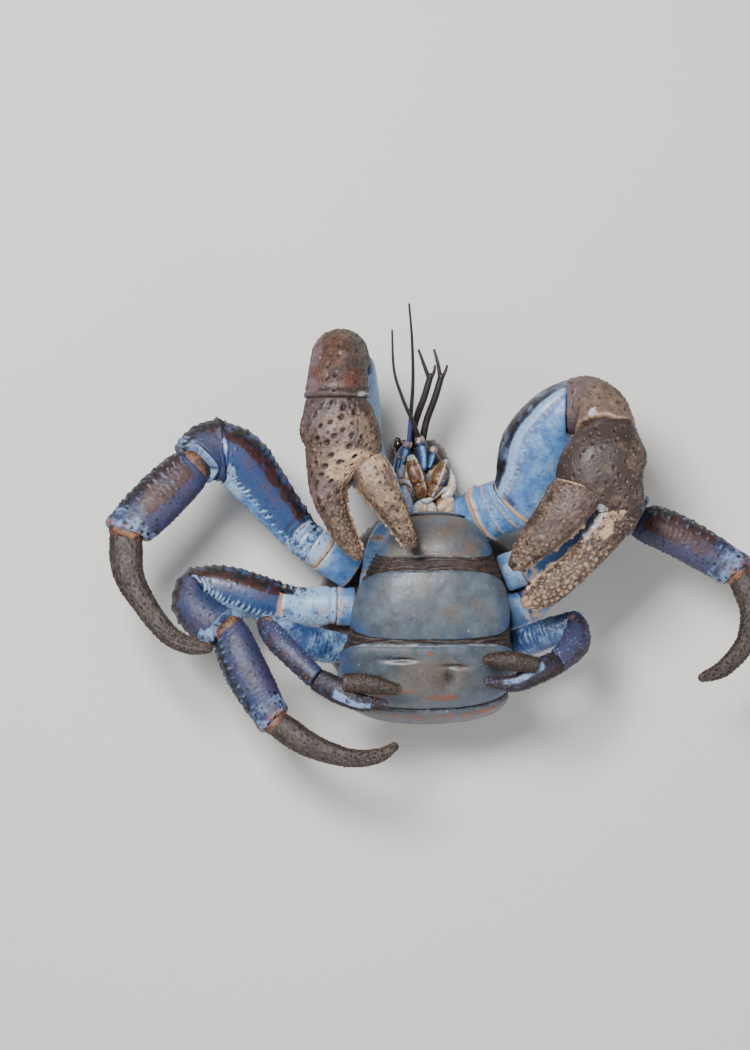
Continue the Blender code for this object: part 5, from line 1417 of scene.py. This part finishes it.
def back_shell():
    """Dorsal shell: pointed front shield, cervical groove and two swollen gill regions."""
    rows = [(-86, 26, 30, 14), (-80, 40, 40, 7), (-66, 54, 42, 2), (-44, 63, 42, 0),
            (-20, 64, 42, 0), (0, 54, 42, 0), (14, 38, 42, 1), (26, 24, 42, 3), (38, 19.5, 42, 6),
            (52, 18.5, 42, 10), (60, 17.6, 41, 15), (66, 14.5, 39, 21), (70.5, 8, 36, 26)]
    shell = Shell([(0, y, (high + low) / 2, half, (high - low) / 2) for y, half, high, low in rows],
                  (0, 1, 0), (0, 1, 0), fine=1.5)
    values = smooth_through([(k, *row) for k, row in enumerate(rows)],
                            shell.t[:, 0] * (len(rows) - 1))
    y, half, high, low = (values[:, k][:, None] for k in range(4))
    a = np.radians(shell.angle)
    x = half * fuller(np.cos(a), 0.78)
    middle = low + (high - low) * 0.55
    under = middle - (middle - low) * np.abs(np.sin(a)) ** 0.72
    under = under + 2.4 * peak(x, 0, 7.0) * ease((14 - y) / 4)
    z = np.where(np.sin(a) > 0, middle + (high - middle) * np.abs(np.sin(a)) ** 0.6,
                 np.maximum(under, 0))
    lean = np.where(y > HEAD_START, head_sway(y), 0)
    shell.point = np.stack((x + lean, np.broadcast_to(y, x.shape), z), axis=-1)
    shell.normal = shell.outward()
    below = ease((shell.angle - 170) / 20) * ease((370 - shell.angle) / 20)
    side, ahead = shell.point[..., 0], shell.point[..., 1]
    neck = peak(ahead - 16, 0.012 * side**2, 2.2)
    gill = peak(np.abs(side) - 14, -0.12 * ahead, 1.8) * ease((10 - ahead) / 8)
    shell.lift(-1.0 * below * np.maximum(neck, 0.8 * gill) + 0.5 * shell.noise(12, 701))
    # Painted shade in the cervical and gill grooves.
    shell.put("ink", 0.8 * below * np.maximum(neck, gill))
    shell.put("rust", 0.5 * ease(shell.noise(15, 702)) + below * 0.25)
    shell.put("violet", 0.6 * ease(shell.noise(18, 703)))
    shell.put("pale", 0.5 * shell.facing(0, 14) + 0.5 * shell.facing(180, 14))
    front = shell.between(0.55, 1.0, 0.05)
    shell.warts(3.0, 1.2, 0.5, front * below, 704, "rust", 0.4)
    shell.scales(352, 0.3, 0.98, 34, 1.4, 1.6, 0.7, 705, paint="cream", strength=0.4)
    shell.scales(188, 0.3, 0.98, 34, 1.4, 1.6, 0.7, 706, paint="cream", strength=0.4)
    shell.pits(5.0, 1.2, 0.9, 0.4, below * (1 - front), 707, rim=0.15)
    shell.close_over("carapace", shell_chitin, "carapace")


def breast():
    """Breast plates between the legs, with a seam at each pair."""
    top = STERNUM_TOP
    base = BREAST_CORNER[2]
    rows = [(0, y, (base + top) / 2, half + 6, (top - base) / 2)
            for y, half in ((-58, 27), (-40, 33), (-15, 34), (10, 29), (24, 20), (31, 12))]

    def dress(shell):
        shell.put("pale", 0.4 + 0.5 * shell.noise(8, 711))
        shell.put("deep", 0.4 * ease(shell.noise(9, 712)))
        for y in (-46, -28, -8, 12, 22):
            seam = peak(shell.point[..., 1], y, 0.9)
            shell.lift(-0.9 * seam)
            shell.put("cream", peak(shell.point[..., 1], y, 2.2))
            shell.put("ink", seam * 0.7)
        shell.warts(4.0, 0.6, 0.3, shell.all_over(0.5), 713, "ink", 0.7)
        neck = ease((shell.point[..., 1] - 20) / 6)
        shell.put("cream", shell.torn(neck * 0.9, 4, 714))
        shell.put("rust", shell.torn(neck * 0.6, 2.5, 715))

    tube("breast_plates", rows, blue_chitin, "blue", "sternum", dress=dress, fine=1.6, tip=False,
         power=2.7)


def mouth_frame():
    """Frame of the mouth: deep blue sides, a dark inside, a cream end at the throat and painted
    shade over its front end.
    """
    base = BREAST_CORNER[2]
    rows = [(head_middle(y), y, (base + high) / 2, half, (high - base) / 2)
            for y, half, high in ((27, 20, 54), (36, 18.5, 57), (46, 16.5, 57), (56, 14, 54),
                                  (64, 10, 48))]

    def dress(shell):
        side = np.abs(shell.point[..., 0] - head_middle(shell.point[..., 1]))
        shell.put("deep", ease((side - 9) / 4) * (0.8 + 0.5 * shell.noise(5, 721)))
        shell.put("ink", ease((9 - side) / 4) * shell.facing(90, 60) * 0.9)
        shell.put("rust", 0.5 * ease(shell.noise(4, 722)))
        shell.put("cream", ease((37 - shell.point[..., 1]) / 5) * (0.5 + 0.7 * shell.noise(3, 723)))
        # Painted shade over the front end, under the feeler stalks.
        shell.put("ink", ease((shell.point[..., 1] - 52) / 4) * 0.9)
        shell.lift(0.4 * shell.noise(4, 724))
        shell.warts(2.6, 0.6, 0.35, shell.facing(90, 80), 725, "cream", 0.4)

    tube("mouth_frame_shell", rows, mouth_chitin, "joint", "mouth_frame", dress=dress,
         fine=0.9, tip=False, power=3.0)


def lobe(seed, tone):
    """Small rounded plate or fold of one tone, broken by cream and brown."""
    def dress(shell):
        shell.put(tone, shell.torn(shell.all_over(0.6), 2.2, seed))
        shell.put("cream", shell.torn(0.6 * (1 - shell.facing(90, 45, 30)), 2.5, seed + 1))
        shell.put("rust", shell.torn(1 - shell.facing(90, 35, 30), 2.0, seed + 2) * 0.9)
        shell.put("pale", shell.torn(0.35 * shell.facing(70, 30, 20), 2.2, seed + 5))
        crease = shell.wrinkles(1.3, 0.26, 0.8, seed + 6)
        # Painted shade in the creases.
        shell.put("ink", crease * 0.7)
        shell.lift(0.45 * shell.noise(2.2, seed + 3))
        shell.warts(2.0, 0.35, 0.2, 0.6 * shell.facing(90, 90), seed + 4, "ink", 0.5)
    return dress


def mouth_rim():
    """Pale rolled rim that runs in a V round the outer mouthparts."""
    def dress(shell):
        shell.put("cream", 0.55 + 0.6 * shell.noise(3, 726))
        shell.put("pale", shell.torn(shell.facing(60, 50, 30) * 0.75, 3, 727))
        shell.put("rust", shell.facing(200, 60, 30) * (0.5 + 0.5 * shell.noise(2, 728)))
        shell.lift(0.3 * shell.noise(2.2, 729))

    tube("mouth_rim", [(-16.4, 44.5, 57.5, 1.3, 1.3), (-12.8, 45.2, 59.5, 1.7, 1.6),
                       (-9.6, 43.2, 60.6, 1.7, 1.7), (-6.2, 38.6, 61.4, 1.6, 1.7),
                       (-1.4, 33.6, 61.6, 1.8, 1.7), (2.6, 35.6, 61.6, 1.6, 1.6),
                       (7.2, 39.2, 60.8, 1.7, 1.6), (12.8, 41.4, 58.6, 1.2, 1.2)],
         mouth_chitin, "joint", dress=dress, fine=0.6)


def cheeks_and_folds():
    """Cheek plates beside the mouth, and the folds of the throat."""
    for name, rows, seed, tone in (
            ("cheek_r_lower", [(-13.9, 42.3, 58.2, 1.8, 1.6), (-12.6, 36, 58.8, 3.2, 2.4),
                               (-10.4, 28.4, 59, 2.8, 2.2)], 731, "deep"),
            ("cheek_r_upper", [(-15.2, 46.5, 56, 1.8, 1.7), (-15.6, 50, 56, 2.2, 1.9),
                               (-14.6, 53.4, 55.2, 1.6, 1.5)], 736, "deep"),
            ("cheek_r_side", [(-18.4, 34, 54.5, 2.0, 1.8), (-18, 40, 55, 2.3, 2),
                              (-17.2, 45.6, 54.5, 1.6, 1.5)], 741, "cream"),
            ("cheek_l_outer", [(7.6, 35.4, 58.6, 1.8, 1.6), (12.6, 38.6, 58.4, 3.0, 2.3),
                               (14, 44.6, 57.4, 2.5, 2.1), (13, 51.4, 56, 1.0, 1.0)], 746, "pale"),
            ("fold_r", [(-6.8, 25.8, 59.2, 2.9, 1.4), (-5.6, 29.6, 59.8, 3.3, 1.4),
                        (-3.0, 34, 60, 1.7, 1.0)], 751, "pale"),
            ("fold_l", [(3.0, 25.8, 59.2, 2.9, 1.4), (2.0, 29.6, 60, 3.1, 1.4),
                        (0, 33.6, 60, 1.5, 1.0)], 756, "pale"),
            ("fold_middle", [(-1.8, 25.4, 59.6, 1.7, 1.5), (-1.8, 29, 60.2, 1.9, 1.5),
                             (-1.5, 32.4, 60.2, 1.2, 1.0)], 758, "cream"),
            ("fold_l_outer", [(5.6, 27.6, 59, 2.2, 1.6), (9.4, 31.4, 59, 3.0, 1.8),
                              (13.6, 34.4, 58.2, 1.9, 1.4)], 761, "cream"),
            ("fold_l_side", [(10, 26.8, 58.4, 2.0, 1.6), (13.2, 29.8, 58.2, 2.6, 1.7),
                             (16.6, 32, 57.2, 1.5, 1.2)], 763, "cream"),
            ("fold_r_outer", [(-14.6, 28.6, 57.6, 1.8, 1.6), (-16.2, 31.6, 57, 1.9, 1.7),
                              (-17.4, 34, 56, 1.1, 1.0)], 766, "pale")):
        tube(name, rows, mouth_chitin, "joint", dress=lobe(seed, tone), fine=0.6)


def jointed(seed, pale_side, inner):
    """Dress of an outer mouthpart: rusty, with a pale ridge, two seams and a toothed inner edge."""
    def dress(shell):
        shell.put("rust", 0.65 + 0.5 * shell.noise(3, seed))
        shell.put("ink", shell.facing(180 - inner, 40, 30) * (0.4 + 0.5 * shell.noise(2, seed + 1)))
        ridge = peak(shell.turn(pale_side), 0, 12) * shell.between(0.1, 0.98, 0.05)
        shell.lift(0.7 * ridge)
        shell.put("pale", shell.torn(0.85 * ridge + shell.between(0.95, 1.0, 0.03) * 0.5, 2.2,
                                     seed + 2))
        shell.put("cream", shell.torn(shell.between(0.86, 0.97, 0.05) * 0.6, 2.0, seed + 8))
        for share in (0.4, 0.8):
            seam = peak(shell.t, share, 0.02)
            shell.lift(-0.6 * seam)
            shell.put("ink", seam * 0.7)
        shell.scales(inner, 0.08, 0.6, 9, 0.8, 1.0, 0.5, seed + 3, paint="cream", strength=0.8)
    return dress


def outer_mouthparts():
    """The two hairy outer mouthparts that meet in a V."""
    tables = {
        "r": [(-3.2, 35, 60.5, 2.6, 3.2), (-5.4, 42.5, 62.3, 4.0, 4.8),
              (-8.2, 51, 62.8, 4.2, 4.9), (-9.8, 57.6, 61.5, 2.6, 3.2)],
        "l": [(1.4, 35.6, 60.5, 2.4, 3.2), (4.4, 42, 62, 3.7, 4.8), (7.4, 49.6, 62.5, 3.8, 4.8),
              (9.6, 55.4, 60.5, 2.2, 3)],
    }
    for tag, seed, pale_side, inner, field in (("r", 771, 38, 0, 110), ("l", 791, 80, 180, 130)):
        shell = tube("maxilliped_" + tag + "_plates", tables[tag], mouth_chitin, "joint",
                     "maxilliped_" + tag, dress=jointed(seed, pale_side, inner), fine=0.6)
        hairy = (shell.facing(field, 44, 14) * shell.between(0.06, 0.9, 0.04)
                 * (1 - 0.85 * peak(shell.turn(pale_side), 0, 11)))
        bristles("maxilliped_" + tag + "_hair", shell, 1500, hairy, 1.5, 0.085, golden_bristle,
                 seed + 5, lean=2.2, slot="joint")
        bristles("maxilliped_" + tag + "_dark_hair", shell, 900, hairy, 1.3, 0.085, dark_bristle,
                 seed + 7, lean=2.2, slot="joint")
        bristles("maxilliped_" + tag + "_fringe", shell, 420,
                 shell.facing(inner, 24, 10) * shell.between(0.25, 0.9, 0.05), 2.0, 0.085,
                 golden_bristle, seed + 6, lean=0.9, slot="joint")


def feeler_base(seed, blush=0.84):
    """Deep blue stalk of a feeler with a pale streak and a brownish pink cap."""
    def dress(shell):
        shell.put("deep", 0.85 + 0.3 * shell.noise(4, seed))
        shell.put("pale", shell.facing(75, 14, 14) * shell.between(0.15, 0.75, 0.1) * 0.6)
        seam = peak(shell.t - blush, -0.03, 0.03)
        shell.lift(0.5 * ease((shell.t - blush) / 0.04) - 0.6 * seam)
        shell.put("ink", seam * 0.8)
        cap = ease((shell.t - blush) / 0.05)
        shell.put("rust", cap * (0.55 + 0.6 * shell.noise(1.6, seed + 1)))
        shell.put("cream", cap * (0.45 + 0.8 * shell.noise(1.8, seed + 3)))
        shell.warts(1.8, 0.35, 0.15, shell.all_over(0.5), seed + 2, "ink", 0.5)
    return dress


def ringed(seed, violet=0.0):
    """Feeler whip of short rings, dusky, with a few short hairs painted as rust."""
    def dress(shell):
        shell.lift(0.09 * np.sin(shell.s * 2 * np.pi / 1.3))
        shell.put("rust", 0.5 * ease(shell.noise(3, seed)))
        shell.put("violet", ease((violet - shell.t) / 0.1))
        shell.put("pale", 0.5 * ease(np.sin(shell.s * 2 * np.pi / 1.3) - 0.6))
    return dress


def feelers():
    """Stalks, spines and whips of the long feelers, and the small forked ones between them."""
    tube("antenna_base_r_stalk", [(-16.8, 55, 51, 3.8, 4), (-14, 61.5, 54.5, 3.7, 3.8),
                                  (-11.4, 67, 57.5, 2, 2)], blue_chitin, "blue", "antenna_base_r",
         dress=feeler_base(801))
    tube("antenna_base_l_stalk", [(-2.8, 51, 60, 2.3, 3.2), (-3.2, 60, 61, 2.8, 3.2),
                                  (-4.8, 69.5, 62, 2.3, 2.3)], blue_chitin, "blue",
         "antenna_base_l", dress=feeler_base(811))
    tube("antenna_spine_r", [(-18.6, 50, 53, 1.7, 1.6), (-17.6, 55, 55, 1.7, 1.6),
                             (-15.8, 60.5, 57.5, 0.8, 0.8)], blue_chitin, "blue",
         dress=feeler_base(821))
    tube("antenna_spine_l", [(0.2, 52.4, 58.6, 1.6, 1.6), (1.9, 58, 60, 2.0, 1.9),
                             (3.6, 63.6, 60.6, 1.9, 1.8)], blue_chitin, "blue",
         dress=feeler_base(825, 0.76))
    for tag, path, violet in (
            ("r", [(-11.2, 67.5, 57.8), (-9.9, 86, 66), (-9, 103, 75), (-9.7, 125, 86),
                   (-11.5, 145, 94)], 0.25),
            ("l", [(-5.2, 70, 62.3), (-8.8, 78.5, 69.5), (-14.7, 91.5, 76), (-19.9, 108, 82),
                   (-21.1, 130.5, 88)], 0.0)):
        rows = [(*p, 1.4 - 0.2 * k, 1.4 - 0.2 * k) for k, p in enumerate(path)]
        tube("antenna_" + tag + "_whip", rows, feeler_chitin, "feeler", "antenna_" + tag,
             dress=ringed(831, violet), fine=0.45, power=2.0)
    for tag, x in (("r", -3.2), ("l", 3.2)):
        stem = tube("antennule_" + tag + "_stem", [
            (-7 + x, 64.5, 48, 2.1, 2.1), (-4 + x, 80, 52, 2.05, 2.05), (1 + x, 94, 57, 2, 2),
            (4.5 + x, 106, 60.5, 1.9, 1.9)], feeler_chitin, "feeler", "antennule_" + tag,
            dress=ringed(841), fine=0.6, power=2.0)
        bristles("antennule_" + tag + "_stem_hair", stem, 220, stem.all_over(1.0), 1.3, 0.1,
                 dark_bristle, 843, slot="feeler")
        for part, path in (("outer", [(4 + x, 104, 60), (1.5 + x * 1.3, 113, 62),
                                      (-1 + x * 1.4, 121, 62)]),
                           ("inner", [(4 + x, 104, 60), (6.5 + x, 108, 61),
                                      (7.5 + x * 1.1, 112, 61)])):
            rows = [(*p, 1.3 - 0.3 * k, 1.3 - 0.3 * k) for k, p in enumerate(path)]
            whip = tube("antennule_" + tag + "_" + part, rows, feeler_chitin, "feeler",
                        dress=ringed(845), fine=0.45, power=2.0)
            if part == "outer":
                bristles("antennule_" + tag + "_brush", whip, 240, whip.facing(270, 50), 1.6, 0.1,
                         golden_bristle, 847, slot="feeler")


def eyes():
    """Stalked eyes under the front of the shell."""
    for tag, s in (("r", -1), ("l", 1)):
        tube("eye_" + tag + "_stalk", [
            (-9.5 + s * 5, 55, 36, 3.0, 2.8), (-10 + s * 6, 61.5, 39, 3.0, 2.8),
            (-10.3 + s * 6.5, 65, 41, 3.2, 3.0)], mouth_chitin, "joint", "eye_" + tag,
            dress=lambda shell: shell.put("rust", 0.6 + 0.4 * shell.noise(3, 861)))
        tube("eye_" + tag + "_cornea", [
            (-10.2 + s * 6.4, 64, 40.4, 3.3, 3.1), (-10.5 + s * 6.8, 67, 42, 3.7, 3.5),
            (-10.5 + s * 7.1, 69.4, 43.2, 2.2, 2.2)], eye_cornea, "eye", fine=0.5, power=2.0)


back_shell()
breast()
mouth_frame()
mouth_rim()
cheeks_and_folds()
outer_mouthparts()
feelers()
eyes()


# Camera, light and floor


SENSOR = 24
# The camera hangs this high above the plane in which the picture is this tall, in metres
CAMERA_ABOVE = 1.4
PICTURE_HEIGHT = 0.588
CAMERA_PLACE = np.array((-30.8, 19.6, 1510.0))


def stage_set():
    """Camera straight above, pale floor, soft light from above and from the upper left."""
    camera = bpy.data.cameras.new("camera")
    camera.sensor_fit = "VERTICAL"
    camera.sensor_height = SENSOR
    camera.lens = SENSOR * CAMERA_ABOVE / PICTURE_HEIGHT
    camera.clip_start = 0.05
    camera.clip_end = 20
    held = bpy.data.objects.new("camera", camera)
    held.location = (CAMERA_PLACE + SHIFT) * MM
    bpy.context.scene.collection.objects.link(held)
    bpy.context.scene.camera = held
    mesh = bpy.data.meshes.new("floor")
    mesh.from_pydata([(-4, -4, 0), (4, -4, 0), (4, 4, 0), (-4, 4, 0)], [], [(0, 1, 2, 3)])
    floor = bpy.data.objects.new("floor", mesh)
    bpy.context.scene.collection.objects.link(floor)
    paper = bpy.data.materials.new("pale_floor")
    paper.use_nodes = True
    shader = paper.node_tree.nodes["Principled BSDF"]
    shader.inputs["Base Color"].default_value = linear("#d2d0cc")
    shader.inputs["Roughness"].default_value = 0.8
    mesh.materials.append(paper)
    for name, place, aim, size, power in (
            ("key", (-0.3, 0.4, 1.2), (0, 0, 0.08), 0.35, 27.0),
            ("fill", (0.9, -0.3, 0.8), (0, 0, 0.05), 1.0, 5.0),
            ("rear", (-0.2, -1.1, 0.6), (0, 0, 0.05), 0.8, 5.0)):
        lamp = bpy.data.lights.new(name, "AREA")
        lamp.size = size
        lamp.energy = power
        hung = bpy.data.objects.new(name, lamp)
        hung.location = place
        hung.rotation_euler = (Vector(aim) - Vector(place)).to_track_quat("-Z", "Y").to_euler()
        bpy.context.scene.collection.objects.link(hung)
    world = bpy.data.worlds.new("soft_room")
    world.use_nodes = True
    sky = world.node_tree.nodes["Background"]
    sky.inputs["Color"].default_value = linear("#eef1f5")
    sky.inputs["Strength"].default_value = 0.3
    bpy.context.scene.world = world


stage_set()
